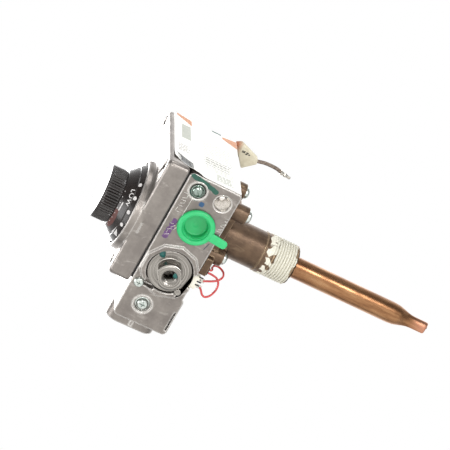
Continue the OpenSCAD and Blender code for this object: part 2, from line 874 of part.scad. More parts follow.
// --- shipping plug in the burner outlet ---------------------------------------------
module outlet_plug() color(green)
    difference() {
        union() {
            at_z(outlet_x, mid_y + 0.5, port_z)
                rotate([180, 0, 0])
                    rotate_extrude()
                        polygon([[0, -9.6], [outlet_r - 0.5, -9.6], [outlet_r - run, -8.6],
                            [outlet_r - run, 0], [plug_r - 0.4, 0], [plug_r, 0.7],
                            [plug_r - 0.3, 1.6], [plug_r - 1.4, plug_top], [0, plug_top]]);
            translate([outlet_x, mid_y + 0.5, port_z - plug_top + 0.3])
                rotate([0, 0, atan2(tab_end[1] - mid_y - 0.5, tab_end[0] - outlet_x)])
                    linear_extrude(1.7) {
                        translate([0, -tab_w / 2])
                            square([22.6 - tab_w / 2, tab_w]);
                        translate([22.6 - tab_w / 2, 0])
                            circle(tab_w / 2);
                    }
        }
        at_z(outlet_x, mid_y + 0.5, port_z - plug_top - 1)
            cylinder(r = plug_cup_r, h = 8);
        at_z(outlet_x, mid_y + 0.5, port_z - plug_top - 0.01)
            cylinder(r1 = plug_cup_r + 1.6, r2 = plug_cup_r, h = 1.6);
    }

// --- small screws ---------------------------------------------------------------------
module arm_screw() color(zinc)
    translate([arm_screw_x, arm_screw_y, port_z + 1.4])
        rotate([180, 0, 0])
            recess_screw(3.7, 2.6, 2, 7);

module body_screw() color(zinc)
    translate([body_screw_x, body_screw_y, port_z])
        rotate([180, 0, 0])
            recess_screw(3.4, 2.2, 1.6, 5);

// --- energy cut-off switch, its terminals and wires --------------------------------------
module eco_switch() color(cast)
    along_y(0, -36, -6.4)
        cylinder(r = 2.4, h = 16);

module terminal_block() color([0.86, 0.85, 0.80])
    translate([block_x0, rear_y - 1.8, port_z + 0.6])
        cube([block_w, 4.8, block_h]);

module eco_terminals() color(steel)
    for (x = [block_x0 + 1, block_x0 + block_w - 3.8])
        translate([x, rear_y + 3, port_z + 2.4])
            cube([2.8, 3.8, 0.6]);

wire_r = 0.7;
wire_a = [
    [-24, -38.8, -26.3], [-21.8, -34.6, -26.8], [-20, -31, -25.8], [-18, -28.4, -23.2],
    [-17, -27.8, -18.6], [-16.6, -29.2, -15], [-16.4, -32, -13.2], [-16.6, -34.6, -14.4],
    [-16.8, -35.8, -17.4], [-17, -35.9, -20.4], [-17, -36.7, -22.1], [-17, -38.6, -22.5]
];
wire_b = [
    [-28.6, -38.8, -26.3], [-30.4, -37, -26.2], [-33, -34.8, -26], [-33.6, -32.4, -25.8],
    [-31.6, -30, -25.4], [-27, -28.4, -24.9], [-22.6, -28.8, -24.2], [-20, -31, -23.3],
    [-19.2, -34.6, -22.7], [-19.2, -38.6, -22.5]
];
module red_wire_a() color(red)
    sweep(bend(wire_a, 4), wire_r, 8, [1, 0, 0]);
module red_wire_b() color(red)
    sweep(bend(wire_b, 4), wire_r, 8);

module wire_grommet() color(rubber)
    translate([-20.4, flange_y0, -24])
        cube([5, 5.6, 3]);

// --- label ---------------------------------------------------------------------------------
module rating_label() color([0.93, 0.92, 0.90])
    translate([right_x, front_y + 1, port_z + 1.5])
        cube([0.2, body_d - 2, body_h - 3]);

// --- test lead, tag and terminal ------------------------------------------------------------
lead_r = 1.3;
lead = [
    [30.7, -46, 60.4], [31, -40, 60.6], [31.5, -32, 61], [32.4, -26, 61.4], [33.5, -20, 61.8],
    [33.4, -12, 62], [32.2, -7.5, 62]
];
tag_edge = [[24, -34], [37.8, -44.4], [40, -41], [35, -26.8], [31, -25.6]];
module lead_gland() color(rubber)
    translate([27.2, -49.6, top_z])
        cube([7, 5, 6]);
module lead_wire() color([0.45, 0.41, 0.38])
    sweep(bend(lead, 4), lead_r, 8);
module lead_tag() color([0.80, 0.78, 0.70])
    difference() {
        translate([0, 0, 58.4])
            linear_extrude(5.4)
                polygon(tag_edge);
        translate([0, 0, 59])
            linear_extrude(4.2)
                polygon([[10, -60], [36.4, -47], [38.6, -41], [34.2, -27], [34.2, -20], [10, -20]]);
    }
module lead_terminal() color(steel)
    translate([32.3, -8.4, 62])
        rotate([0, 0, 8])
            translate([-1.1, 0, -1.1])
                cube([2.2, 8, 2.2]);

valve_body();
front_cover();
cover_gasket();
cover_screws();
temperature_dial();
dial_shaft();
dial_clip();
dial_spring();
mounting_shank();
shank_gasket();
flange_screws();
immersion_tube();
expansion_rod();
thermostat_lever();
snap_disc();
snap_disc_ring();
main_valve_seat();
main_valve();
main_valve_spring();
spring_bridge();
power_unit_housing();
unit_pin();
magnet_core();
magnet_coil();
safety_valve();
safety_valve_spring();
reset_rod();
reset_button();
reset_spring();
cock_plug();
cock_spring();
gas_knob();
knob_clip();
regulator_seat();
regulator_valve();
regulator_diaphragm();
regulator_ring();
regulator_spring();
regulator_cap();
pilot_adjust_screw();
pilot_filter();
inlet_screen();
outlet_plug();
arm_screw();
body_screw();
eco_switch();
terminal_block();
eco_terminals();
red_wire_a();
red_wire_b();
wire_grommet();
rating_label();
lead_gland();
lead_wire();
lead_tag();
lead_terminal();
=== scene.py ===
import json
import math

import bmesh
import bpy
import numpy as np
from mathutils import Matrix, Vector

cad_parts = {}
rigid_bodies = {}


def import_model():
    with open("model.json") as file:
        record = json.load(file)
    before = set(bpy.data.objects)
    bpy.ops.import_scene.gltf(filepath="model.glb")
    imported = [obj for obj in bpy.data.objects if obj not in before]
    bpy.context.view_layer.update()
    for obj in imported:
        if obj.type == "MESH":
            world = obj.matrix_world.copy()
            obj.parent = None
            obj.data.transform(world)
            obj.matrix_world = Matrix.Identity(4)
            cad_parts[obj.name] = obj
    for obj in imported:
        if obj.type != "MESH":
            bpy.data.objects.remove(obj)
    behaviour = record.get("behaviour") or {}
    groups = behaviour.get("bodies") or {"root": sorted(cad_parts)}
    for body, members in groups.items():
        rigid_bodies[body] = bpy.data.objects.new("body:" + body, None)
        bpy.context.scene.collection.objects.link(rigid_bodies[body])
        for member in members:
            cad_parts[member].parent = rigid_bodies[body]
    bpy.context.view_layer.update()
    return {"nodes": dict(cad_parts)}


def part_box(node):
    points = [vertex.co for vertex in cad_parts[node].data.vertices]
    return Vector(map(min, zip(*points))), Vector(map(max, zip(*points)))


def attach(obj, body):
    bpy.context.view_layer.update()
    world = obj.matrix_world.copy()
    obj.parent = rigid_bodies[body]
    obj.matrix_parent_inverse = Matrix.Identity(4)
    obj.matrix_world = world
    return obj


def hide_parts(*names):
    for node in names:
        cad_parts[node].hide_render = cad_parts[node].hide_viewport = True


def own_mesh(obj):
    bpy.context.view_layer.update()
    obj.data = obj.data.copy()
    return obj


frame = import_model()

nodes = frame["nodes"]

# --- Studio: camera, lights, floor --------------------------------------------------------
# A white sweep with soft boxes over the table, before the dial and on the label's side, and
# small ones for the turned disc and the tube. The valve hangs in its working position and the
# camera looks up at its underside.
scene = bpy.context.scene
scene.view_settings.view_transform = "Standard"

to_eye = Vector((0.359, -0.223, -0.906)).normalized()
to_right = Vector((0.470, 0.882, -0.031))
to_right = (to_right - to_right.dot(to_eye) * to_eye).normalized()
to_up = to_eye.cross(to_right)
eye = Vector((0.3920, -0.2781, -0.9743))
lens = bpy.data.cameras.new("camera")
lens.sensor_width = 36
lens.lens = 136
lens.clip_start, lens.clip_end = 0.05, 30
camera = bpy.data.objects.new("camera", lens)
camera.matrix_world = Matrix((
    (to_right.x, to_up.x, to_eye.x, eye.x),
    (to_right.y, to_up.y, to_eye.y, eye.y),
    (to_right.z, to_up.z, to_eye.z, eye.z),
    (0, 0, 0, 1)))
scene.collection.objects.link(camera)
scene.camera = camera


def srgb(code):
    """Linear RGBA of an sRGB hex colour such as #8f8884."""
    c = np.array([int(code[i:i + 2], 16) for i in (1, 3, 5)]) / 255
    return (*np.where(c <= 0.04045, c / 12.92, ((c + 0.055) / 1.055) ** 2.4).tolist(), 1.0)


def add(tree, kind, **settings):
    """Adds one node. Each setting is a property, an input by name (_ for a space) or by number
    (i0, i1); an output given as a value is linked. stops lists a ramp's (place, hex colour)."""
    node = tree.nodes.new("ShaderNode" + kind)
    for key, value in settings.items():
        if key == "stops":
            ramp = node.color_ramp
            while len(ramp.elements) < len(value):
                ramp.elements.new(0.5)
            for element, (place, code) in zip(ramp.elements, value):
                element.position, element.color = place, srgb(code)
            continue
        name = int(key[1:]) if key[0] == "i" and key[1:].isdigit() else key.replace("_", " ")
        if isinstance(value, bpy.types.NodeSocket):
            tree.links.new(value, node.inputs[name])
        elif isinstance(name, int) or name in node.inputs:
            node.inputs[name].default_value = value
        else:
            setattr(node, key, value)
    return node


world = bpy.data.worlds.new("white_sweep")
scene.world = world
world.use_nodes = True
sky = world.node_tree
sky.nodes.clear()
toward = add(sky, "TexCoord").outputs["Generated"]
facing = add(sky, "VectorMath", operation="DOT_PRODUCT", i0=toward,
             i1=-to_eye).outputs["Value"]
glow = add(sky, "ValToRGB", Fac=add(sky, "MapRange", Value=facing, i1=-1.0, i2=1.0).outputs[0],
           stops=[(0.0, "#848484"), (0.25, "#6c6c6c"), (0.45, "#8f8f8f"), (0.62, "#d8d8d8"),
                  (1.0, "#ffffff")])
seen = add(sky, "Background", Color=(1, 1, 1, 1), Strength=1.0)
beyond = add(sky, "MapRange", Value=facing, i1=0.35, i2=0.85, i3=0.9, i4=2.0)
lit = add(sky, "Background", Color=glow.outputs["Color"], Strength=beyond.outputs[0])
sweep = add(sky, "MixShader", i0=add(sky, "LightPath").outputs["Is Camera Ray"],
            i1=lit.outputs[0], i2=seen.outputs[0])
add(sky, "OutputWorld", Surface=sweep.outputs[0])


def soft_box(name, place, aim, size, watts):
    """Square area light of size metres at place, turned to aim."""
    light = bpy.data.lights.new(name, "AREA")
    light.shape, light.size, light.energy = "SQUARE", size, watts
    lamp = bpy.data.objects.new(name, light)
    facing_aim = (Vector(place) - Vector(aim)).to_track_quat("Z", "Y").to_matrix().to_4x4()
    lamp.matrix_world = Matrix.Translation(place) @ facing_aim
    scene.collection.objects.link(lamp)


soft_box("table_glow", (-0.38, -0.28, 0.95), (-0.01, -0.08, 0), 0.62, 11)
soft_box("front_box", (-0.25, -0.95, -0.1), (0, -0.06, 0), 0.5, 4)
soft_box("label_box", (0.95, -0.15, 0.15), (0.03, -0.06, 0), 0.5, 3)
soft_box("side_sweep", (0.40, 0.16, 0.93), (0.04, -0.06, 0.02), 0.5, 0.6)
soft_box("fan_key", (0.478, -0.204, -1.22), (-0.026, -0.061, -0.03), 0.12, 3.0)
soft_box("strip_key", (0.75, 0.26, -0.62), (0.0, 0.0, 0), 0.11, 2.6)

floor_half, floor_level = 3.0, -1.25
floor_mesh = bpy.data.meshes.new("studio_floor")
floor_mesh.from_pydata([(x * floor_half, y * floor_half, floor_level)
                        for x, y in [(-1, -1), (1, -1), (1, 1), (-1, 1)]], [], [(0, 1, 2, 3)])
floor = bpy.data.objects.new("studio_floor", floor_mesh)
scene.collection.objects.link(floor)
paper = bpy.data.materials.new("matt_backdrop_paper")
paper.use_nodes = True
paper_base = paper.node_tree.nodes["Principled BSDF"]
paper_base.inputs["Base Color"].default_value = srgb("#e9e8e5")
paper_base.inputs["Roughness"].default_value = 0.9
floor.data.materials.append(paper)


# --- Cords: the two red cut-off leads ------------------------------------------------------
# Stranded copper in soft PVC, 1.4 mm over the cover, from the terminals on the underside up
# to the cut-off switch in the flange. Both ends are held, so the leads stand in short bows.
def finish(name, first, second, metallic, rough, patch, grain, depth):
    """Material whose colour drifts from first to second in patches of patch mm; grain of
    grain mm stands depth mm high, and roughness runs between the two values of rough."""
    material = bpy.data.materials.new(name)
    material.use_nodes = True
    tree = material.node_tree
    base = tree.nodes["Principled BSDF"]
    here = add(tree, "TexCoord").outputs["Object"]
    wide = add(tree, "TexNoise", Vector=here, Scale=1000 / patch, Detail=5.0, Roughness=0.62)
    fine = add(tree, "TexNoise", Vector=here, Scale=1000 / grain, Detail=3.0, Roughness=0.5)
    share = add(tree, "MapRange", Value=wide.outputs[0], i1=0.36, i2=0.64)
    colour = add(tree, "Mix", data_type="RGBA", i0=share.outputs[0], i6=srgb(first),
                 i7=srgb(second))
    tree.links.new(colour.outputs[2], base.inputs["Base Color"])
    base.inputs["Metallic"].default_value = metallic
    gloss = add(tree, "MapRange", Value=fine.outputs[0], i1=0.3, i2=0.7, i3=rough[0], i4=rough[1])
    tree.links.new(gloss.outputs[0], base.inputs["Roughness"])
    bump = add(tree, "Bump", Height=fine.outputs[0], Distance=depth / 1000, Strength=1.0)
    tree.links.new(bump.outputs[0], base.inputs["Normal"])
    return material


def spline(points, steps):
    """Catmull-Rom curve through points, steps to a span:
    p(t) = (2b + (c-a)t + (2a-5b+4c-d)t^2 + (3b-a-3c+d)t^3) / 2."""
    p = np.asarray(points, float)
    a, b = np.vstack([p[:1], p[:-2]])[:, None], p[:-1][:, None]
    c, d = p[1:][:, None], np.vstack([p[2:], p[-1:]])[:, None]
    t = (np.arange(steps) / steps)[None, :, None]
    curve = (2 * b + (c - a) * t + (2 * a - 5 * b + 4 * c - d) * t ** 2
             + (3 * b - a - 3 * c + d) * t ** 3) / 2
    return np.vstack([curve.reshape(-1, 3), p[-1:]])


def lay_cord(name, points, radius, material, node, body):
    """Round cord of radius mm on the smooth curve through points, in place of its CAD node."""
    path = spline(points, 6) / 1000
    data = bpy.data.curves.new(name, "CURVE")
    data.dimensions = "3D"
    data.bevel_depth, data.bevel_resolution, data.use_fill_caps = radius / 1000, 3, True
    line = data.splines.new("POLY")
    line.points.add(len(path) - 1)
    line.points.foreach_set("co", np.hstack([path, np.ones((len(path), 1))]).ravel())
    line.use_smooth = True
    data.materials.append(material)
    cord = bpy.data.objects.new(name, data)
    scene.collection.objects.link(cord)
    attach(cord, body)
    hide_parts(node)
    return cord


# Extruded PVC cover: smooth, a little waxy, so a narrow soft highlight runs along it
red_pvc = finish("extruded_red_pvc", "#b5393b", "#c8504f", 0.0, (0.32, 0.45), 3, 0.6, 0.02)
lay_cord("red_lead_a", [
    (-24, -38.8, -26.3), (-21.8, -34.6, -26.8), (-20, -31, -25.8), (-18, -28.4, -23.2),
    (-17, -27.8, -18.6), (-16.6, -29.2, -15), (-16.4, -32, -13.2), (-16.6, -34.6, -14.4),
    (-16.8, -35.8, -17.4), (-17, -35.9, -20.4), (-17, -36.7, -22.1), (-17, -38.6, -22.5)],
    0.7, red_pvc, "red_wire_a", "valve")
lay_cord("red_lead_b", [
    (-28.6, -38.8, -26.3), (-30.4, -37, -26.2), (-33, -34.8, -26), (-33.6, -32.4, -25.8),
    (-31.6, -30, -25.4), (-27, -28.4, -24.9), (-22.6, -28.8, -24.2), (-20, -31, -23.3),
    (-19.2, -34.6, -22.7), (-19.2, -38.6, -22.5)],
    0.7, red_pvc, "red_wire_b", "valve")

# --- Body: die-cast aluminium block with the inlet arm -------------------------------------
# Pressure die casting in A380, tumbled: dull warm grey, fine sandy skin with faint flow
# patches, edges painted bright as a highlight. Ports and seats are drilled and faced after casting.
def unit(v):
    """v over its own length, along the last axis."""
    return v / np.linalg.norm(v, axis=-1, keepdims=True)


def cast_metal(name, body, patch, edge, rough, grain=0.45, depth=0.05, edge_highlight_code="#f4f1ed"):
    """Cast metal: two tones drifting over 9 mm, lighter rubbed streaks and a sandy skin of grain
    mm. Edges are shaded round over 1.5 mm and painted towards the light edge colour as a
    painted highlight, concave corners too, by a share that grows as the cosine between the
    rounded and the face's own normal falls from 0.997 to 0.93."""
    material = finish(name, body, patch, 0.85, rough, 9, grain, depth)
    tree = material.node_tree
    base = tree.nodes["Principled BSDF"]
    here = add(tree, "TexCoord").outputs["Object"]
    streak = add(tree, "TexNoise", Scale=260.0, Detail=6.0, Roughness=0.7, Distortion=0.6,
                 Vector=add(tree, "Mapping", Vector=here, Scale=(1.0, 0.35, 1.0)).outputs[0])
    share = add(tree, "MapRange", Value=streak.outputs[0], i1=0.56, i2=0.74, i4=0.55)
    body_colour = base.inputs["Base Color"].links[0].from_socket
    rubbed = add(tree, "Mix", data_type="RGBA", i0=share.outputs[0], i6=body_colour,
                 i7=srgb(edge))
    tree.links.new(rubbed.outputs[2], base.inputs["Base Color"])
    grain_bump = base.inputs["Normal"].links[0].from_node
    rounded = add(tree, "Bevel", samples=6, Radius=0.0015)
    tree.links.new(rounded.outputs[0], grain_bump.inputs["Normal"])
    # Painted highlight: edges, concave ones too, are mixed towards a near-white colour where the rounded
    # normal turns away from the face's own.
    square = add(tree, "NewGeometry").outputs["Normal"]
    turned_by = add(tree, "VectorMath", operation="DOT_PRODUCT", i0=rounded.outputs[0], i1=square)
    wear_and_edge_highlight = add(tree, "MapRange", Value=turned_by.outputs["Value"], i1=0.997, i2=0.93, i4=0.9)
    bright = add(tree, "Mix", data_type="RGBA", i0=wear_and_edge_highlight.outputs[0], i6=rubbed.outputs[2],
                 i7=srgb(edge_highlight_code))
    tree.links.new(bright.outputs[2], base.inputs["Base Color"])
    return material


aluminium = cast_metal("tumbled_die_cast_aluminium", "#7a7470", "#8d8782", "#c2bdb7", (0.3, 0.44))


def casting(name, node, material, width, body="valve", reshape=None):
    """Copy of a CAD mesh with doubles merged and flat faces joined, moved by reshape(points in
    mm), with every edge that bends by over half a radian rounded by width mm."""
    mesh = nodes[node].data.copy()
    mesh.name = name
    if "custom_normal" in mesh.attributes:
        mesh.attributes.remove(mesh.attributes["custom_normal"])
    work = bmesh.new()
    work.from_mesh(mesh)
    bmesh.ops.remove_doubles(work, verts=work.verts, dist=3e-6)
    bmesh.ops.dissolve_limit(work, angle_limit=math.radians(0.8), verts=work.verts,
                             edges=work.edges, delimit={"NORMAL"})
    bend = np.array([e.calc_face_angle(0.0) for e in work.edges])
    work.to_mesh(mesh)
    work.free()
    if reshape:
        spot = np.empty(len(mesh.vertices) * 3)
        mesh.vertices.foreach_get("co", spot)
        mesh.vertices.foreach_set("co", (reshape(spot.reshape(-1, 3) * 1000) / 1000).ravel())
    layer = mesh.attributes.new("bevel_weight_edge", "FLOAT", "EDGE")
    layer.data.foreach_set("value", (bend > 0.5).astype(np.float32))
    mesh.polygons.foreach_set("use_smooth", np.ones(len(mesh.polygons), bool))
    mesh.set_sharp_from_angle(angle=math.radians(30))
    mesh.materials.clear()
    mesh.materials.append(material)
    part = bpy.data.objects.new(name, mesh)
    scene.collection.objects.link(part)
    soften = part.modifiers.new("edge_rounding", "BEVEL")
    soften.width, soften.segments, soften.limit_method = width / 1000, 3, "WEIGHT"
    soften.use_clamp_overlap, soften.harden_normals = False, True
    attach(part, body)
    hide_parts(node)
    return part


casting("valve_body_casting", "valve_body", aluminium, 0.45)

# --- Front cover: matching casting with the raised bezel ring ------------------------------
# The cover closes the thermostat chamber on a rubber gasket and carries the dial. Its front
# edges have a broad cast radius, which catches the light as a bright line.
cover_metal = cast_metal("bright_die_cast_cover", "#807a76", "#918b86", "#c9c4bf", (0.28, 0.4))


def grid_faces(rows, columns, closed=True):
    """Quads joining a rows by columns grid of points, columns running round; a closed grid
    joins its last column to the first."""
    row = np.arange(rows - 1)[:, None] * columns
    column = np.arange(columns if closed else columns - 1)[None]
    after = (column + 1) % columns
    return np.stack([row + column, row + after, row + columns + after, row + columns + column],
                    -1).reshape(-1, 4)


def shell(name, points, material, body, closed=True, sharp=38.0, uv=None, replaces=(), slot=None,
          colour=None, weld=True):
    """Mesh piece from a (rows, columns, 3) grid of points in mm. Points that meet are welded,
    so a row drawn to one point closes as a pole; faces are then turned outwards. uv gives the
    rows' places along the profile, and colour a value from 0 to 1 at each point."""
    rows, columns = points.shape[:2]
    mesh = bpy.data.meshes.new(name)
    quads = grid_faces(rows, columns, closed)
    mesh.from_pydata((points.reshape(-1, 3) / 1000).tolist(), [], quads.tolist())
    if uv is not None:
        row, column = np.meshgrid(np.arange(rows - 1), np.arange(columns if closed else columns - 1),
                                  indexing="ij")
        flat = np.stack([np.stack([column + right, row + down], -1)
                         for right, down in [(0, 0), (1, 0), (1, 1), (0, 1)]], 2).astype(float)
        flat[..., 0] /= columns
        flat[..., 1] = np.interp(flat[..., 1], np.arange(rows), uv)
        mesh.uv_layers.new(name="turning").data.foreach_set("uv", flat.ravel())
    if colour is not None:
        layer = mesh.attributes.new("cover", "FLOAT", "POINT")
        layer.data.foreach_set("value", np.asarray(colour, np.float32).ravel())
    if weld:
        work = bmesh.new()
        work.from_mesh(mesh)
        bmesh.ops.remove_doubles(work, verts=work.verts, dist=2e-6)
        bmesh.ops.dissolve_degenerate(work, edges=work.edges, dist=1e-7)
        bmesh.ops.recalc_face_normals(work, faces=work.faces)
        work.to_mesh(mesh)
        work.free()
    mesh.polygons.foreach_set("use_smooth", np.ones(len(mesh.polygons), bool))
    mesh.set_sharp_from_angle(angle=math.radians(sharp))
    mesh.materials.append(material)
    part = bpy.data.objects.new(name, mesh)
    scene.collection.objects.link(part)
    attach(part, body)
    if replaces:
        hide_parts(*replaces)
    return part


def eased(corners, radius, steps=4):
    """Corners of a profile replaced by quadratic curves that start and end radius mm away, or
    half a side: p = (1-t)^2 a + 2t(1-t) corner + t^2 b."""
    p = np.asarray(corners, float)
    ahead, back = p[2:] - p[1:-1], p[:-2] - p[1:-1]
    reach = np.minimum(radius, 0.5 * np.minimum(np.linalg.norm(ahead, axis=1),
                                                np.linalg.norm(back, axis=1)))[:, None]
    a, b = p[1:-1] + unit(back) * reach, p[1:-1] + unit(ahead) * reach
    t = np.linspace(0, 1, steps)[None, :, None]
    curve = (1 - t) ** 2 * a[:, None] + 2 * t * (1 - t) * p[1:-1][:, None] + t ** 2 * b[:, None]
    return np.vstack([p[:1], curve.reshape(-1, 2), p[-1:]])


AXES = {"z": ((1, 0, 0), (0, 1, 0), (0, 0, 1)), "y": ((1, 0, 0), (0, 0, 1), (0, 1, 0))}


def turned(name, profile, centre, axis, material, body, sides=96, wave=None, sink=None, **more):
    """Solid of revolution from (radius, height) rows in mm:
    p(u, v) = centre + r(v) (a cos u + b sin u) + h(v) axis, r changed by wave(u, r, h) and
    h by sink(u, r, h)."""
    a, b, along = (np.array(v, float) for v in AXES[axis])
    profile = np.asarray(profile, float)
    u = np.linspace(0, 2 * np.pi, sides, endpoint=False)[None]
    r, h = profile[:, :1], profile[:, 1:]
    if wave is not None:
        r = wave(u, r, h)
    if sink is not None:
        h = sink(u, r, h)
    points = (np.asarray(centre, float) + (r * np.cos(u))[..., None] * a
              + (r * np.sin(u))[..., None] * b + (h + 0 * u)[..., None] * along)
    run = np.concatenate([[0], np.cumsum(np.linalg.norm(np.diff(profile, axis=0), axis=1))])
    return shell(name, points, material, body, uv=run / max(run[-1], 1e-6), **more)


def round_rect(x0, x1, z0, z1, radius, step=1.2, arc=12):
    """Closed outline of a rectangle with round corners: straight runs in equal steps near
    step mm (counted on the unrounded side, so every inset has as many points) and arc points
    to each corner."""
    corners = [(x1 - radius, z0 + radius, -90), (x1 - radius, z1 - radius, 0),
               (x0 + radius, z1 - radius, 90), (x0 + radius, z0 + radius, 180)]
    bow = [np.array([cx, cz]) + radius * np.stack([np.cos(t), np.sin(t)], -1)
           for cx, cz, start in corners for t in [np.radians(start + np.linspace(0, 90, arc))]]
    sides = [int(84 / step), int(86 / step)] * 2
    runs = [np.linspace(bow[i][-1], bow[(i + 1) % 4][0], sides[(i + 1) % 4] + 2)[1:-1]
            for i in range(4)]
    return np.vstack([part for i in range(4) for part in (bow[i], runs[i])])


dial_axis = np.array([-8.0, 0.0])
ring_r, ring_top = 29.7, -99.6
cover_left, cover_right, cover_low, cover_high, cover_corner = -44.9, 40.2, -29, 57, 3.6
turn_in = np.radians(np.linspace(0, 90, 8))


def cover_section(inset, depth, reach):
    """Cover outline drawn in by inset mm at one depth, pushed out to at least reach mm from
    the dial axis with a soft maximum (a + b + sqrt((a-b)^2 + e)) / 2."""
    edge = round_rect(cover_left + inset, cover_right - inset, cover_low + inset,
                      cover_high - inset, max(cover_corner - inset, 0.5)) - dial_axis
    span = np.linalg.norm(edge, axis=1, keepdims=True)
    wide = (span + reach + np.sqrt((span - reach) ** 2 + 0.04)) / 2 if reach else span
    spot = dial_axis + edge / span * wide
    return np.column_stack([spot[:, 0], np.full(len(spot), depth), spot[:, 1]])


def around(circle, depth, like):
    """Circle about the dial axis with one point at each bearing of the outline like."""
    way = unit(like[:, [0, 2]] - dial_axis)
    spot = dial_axis + way * np.asarray(circle).reshape(-1, 1)
    return np.column_stack([spot[:, 0], np.full(len(spot), depth), spot[:, 1]])


sections = [cover_section(3.0, -80.8, 0), cover_section(1.3, -80.8, 0), cover_section(0.6, -81.0, 0),
            cover_section(0.18, -81.4, 0), cover_section(0.0, -82.1, 0), cover_section(0.0, -91.0, 0),
            cover_section(0.0, -91.5, 29.9)]
sections += [cover_section(2.6 * (1 - math.cos(t)), -92.4 - 2.6 * math.sin(t), 29.9)
             for t in turn_in]
rim = sections[-1]
reach_out = np.linalg.norm(rim[:, [0, 2]] - dial_axis, axis=1)
foot = np.minimum(reach_out - 0.02, 31.6)
sections += [around(foot - (foot - ring_r) * math.sin(t), -95 - 2.1 * (1 - math.cos(t)), rim)
             for t in turn_in]
sections += [around(r, y, rim) for r, y in eased(
    [(ring_r, -97.2), (ring_r - 0.2, ring_top), (27.5, ring_top), (27.4, -93.2), (4.3, -93.2),
     (4.3, -86.0), (4.3, -84.0)], 0.55)[1:]]
cover = shell("front_cover_casting", np.stack(sections), cover_metal, "valve", sharp=50,
              replaces=["front_cover"], slot="cast_aluminium")

cover_screw_at = [(-38, 50), (34, 50), (34, -22), (-38.5, -19.5)]
for corner, (x, z) in enumerate(cover_screw_at):
    drill = turned(f"drill_{corner}", [(0, -97), (3.7, -97), (3.7, -92.3), (2.1, -91.6), (2.1, -80),
                                       (0, -80)], (x, 0, z), "y", cover_metal, "valve", sides=40)
    bore = cover.modifiers.new(f"bore_{corner}", "BOOLEAN")
    bore.operation, bore.solver, bore.object = "DIFFERENCE", "EXACT", drill
bpy.context.view_layer.update()
drilled = bpy.data.meshes.new_from_object(cover.evaluated_get(bpy.context.evaluated_depsgraph_get()))
cover.modifiers.clear()
cover.data = drilled
drilled.name = "front_cover_casting"
for corner in range(4):
    bpy.data.objects.remove(bpy.data.objects[f"drill_{corner}"])


def give(material, *names):
    """Puts a finish on CAD nodes whose shape is already right."""
    for name in names:
        for place in nodes[name].material_slots:
            place.material = material


# Moulded nitrile rubber: nearly black, with a dry bloom
nitrile = finish("moulded_nitrile_rubber", "#201f20", "#2b2a2b", 0.0, (0.6, 0.8), 5, 0.5, 0.03)
give(nitrile, "cover_gasket", "shank_gasket", "main_valve", "safety_valve", "wire_grommet",
     "lead_gland", "regulator_diaphragm")
# Zinc-plated steel, clear passivated: bright and slightly blue, smooth with fine scratches
zinc = finish("clear_passivated_zinc_plate", "#b9c2be", "#d3d8d4", 1.0, (0.2, 0.34), 4, 0.3, 0.012)


def lobes(u, r, h, inner, outer):
    """Cross recess: radius between inner and outer, widest at four bearings."""
    return inner + (outer - inner) * np.clip(np.cos(4 * u), 0, 1) ** 2 + 0 * h


def pan_head(name, centre, axis, flip, head, height, recess, body="valve", node=None, washer=0.0):
    """Pan-head screw: domed head on its washer face, cross recess sunk in the crown; flip turns
    the crown towards the axis's negative side, and all sizes are in mm."""
    sign = -1 if flip else 1
    outside = eased([(0.0, -1.0), (head * 0.8, -1.0), (head * 0.8, 0), (head + washer, 0),
                     (head + washer, 0.25), (head, 0.3), (head, height * 0.55),
                     (head * 0.78, height * 0.96), (recess * 1.35, height)], 0.5)
    steps = [(recess, height - 0.05), (recess * 0.82, height - 0.5), (recess * 0.6, height - 1.2),
             (0.0, height - 1.3)]
    profile = np.vstack([outside, steps]) * [1, sign]
    top = height * sign

    def cross(u, r, h):
        """Recess rows drawn to four lobes, every other row left round."""
        inside = (np.abs(h - top) < 1.28) & (r <= recess + 0.01) & (np.abs(h) > 0.2)
        return np.where(inside & (r > 0), lobes(u, r, h, r * 0.42, r * 1.1), r + 0 * u)

    return turned(name, profile, centre, axis, zinc, body, sides=72, wave=cross,
                  replaces=[node] if node else (), slot="zinc_plate")


for corner, (x, z) in enumerate(cover_screw_at):
    pan_head(f"cover_screw_{corner}", (x, -92.4, z), "y", True, 3.3, 1.9, 1.7,
             node="cover_screws" if corner == 0 else None)
pan_head("arm_screw_head", (-54.5, -65.8, -27.7), "z", True, 3.7, 2.3, 2.0, node="arm_screw",
         washer=0.9)
pan_head("body_screw_head", (-41.4, -74.9, -29.0), "z", True, 3.3, 2.0, 1.7, node="body_screw")

# --- Shank, immersion tube and flange screws ------------------------------------------------
# Sand-cast bronze shank, left as cast and browned by handling, on a copper immersion tube.
# The shank's pipe thread is coated at the factory with cream thread sealant.
bronze = cast_metal("browned_cast_bronze", "#524236", "#675444", "#88745f", (0.32, 0.48), 0.6, 0.07,
                    "#a08a70")


def draw_in_thread(spot):
    """Thread length taken down to its core so that the threaded sleeve covers it."""
    span = np.hypot(spot[:, 0], spot[:, 2])
    core = (spot[:, 1] > -10.2) & (span > 10.5)
    less = np.where(core, 11.8 / np.maximum(span, 1e-6), 1.0)
    moved = spot.copy()
    moved[:, 0] *= less
    moved[:, 2] *= less
    moved[core & (spot[:, 1] > 10), 1] -= 1.0
    return moved


casting("shank_casting", "mounting_shank", bronze, 0.5, reshape=draw_in_thread)
flange_at = [(-9.5, -14.5), (23, -14.5), (23, 22), (-9.5, 22)]
for corner, (x, z) in enumerate(flange_at):
    pan_head(f"flange_screw_{corner}", (x, -32.7, z), "y", False, 4.1, 2.9, 2.0,
             node="flange_screws" if corner == 0 else None)


def smooth_noise(u, v, cells, seed):
    """Sum of eighteen sine waves with random bearings, about zero and near one high."""
    pick = np.random.default_rng(seed)
    total = np.zeros(np.broadcast(u, v).shape)
    for _ in range(18):
        k, m, phase = pick.integers(0, cells), pick.normal(0, cells / 22), pick.uniform(0, 6.3)
        total = total + np.sin(k * u + m * v + phase)
    return total / 3.0


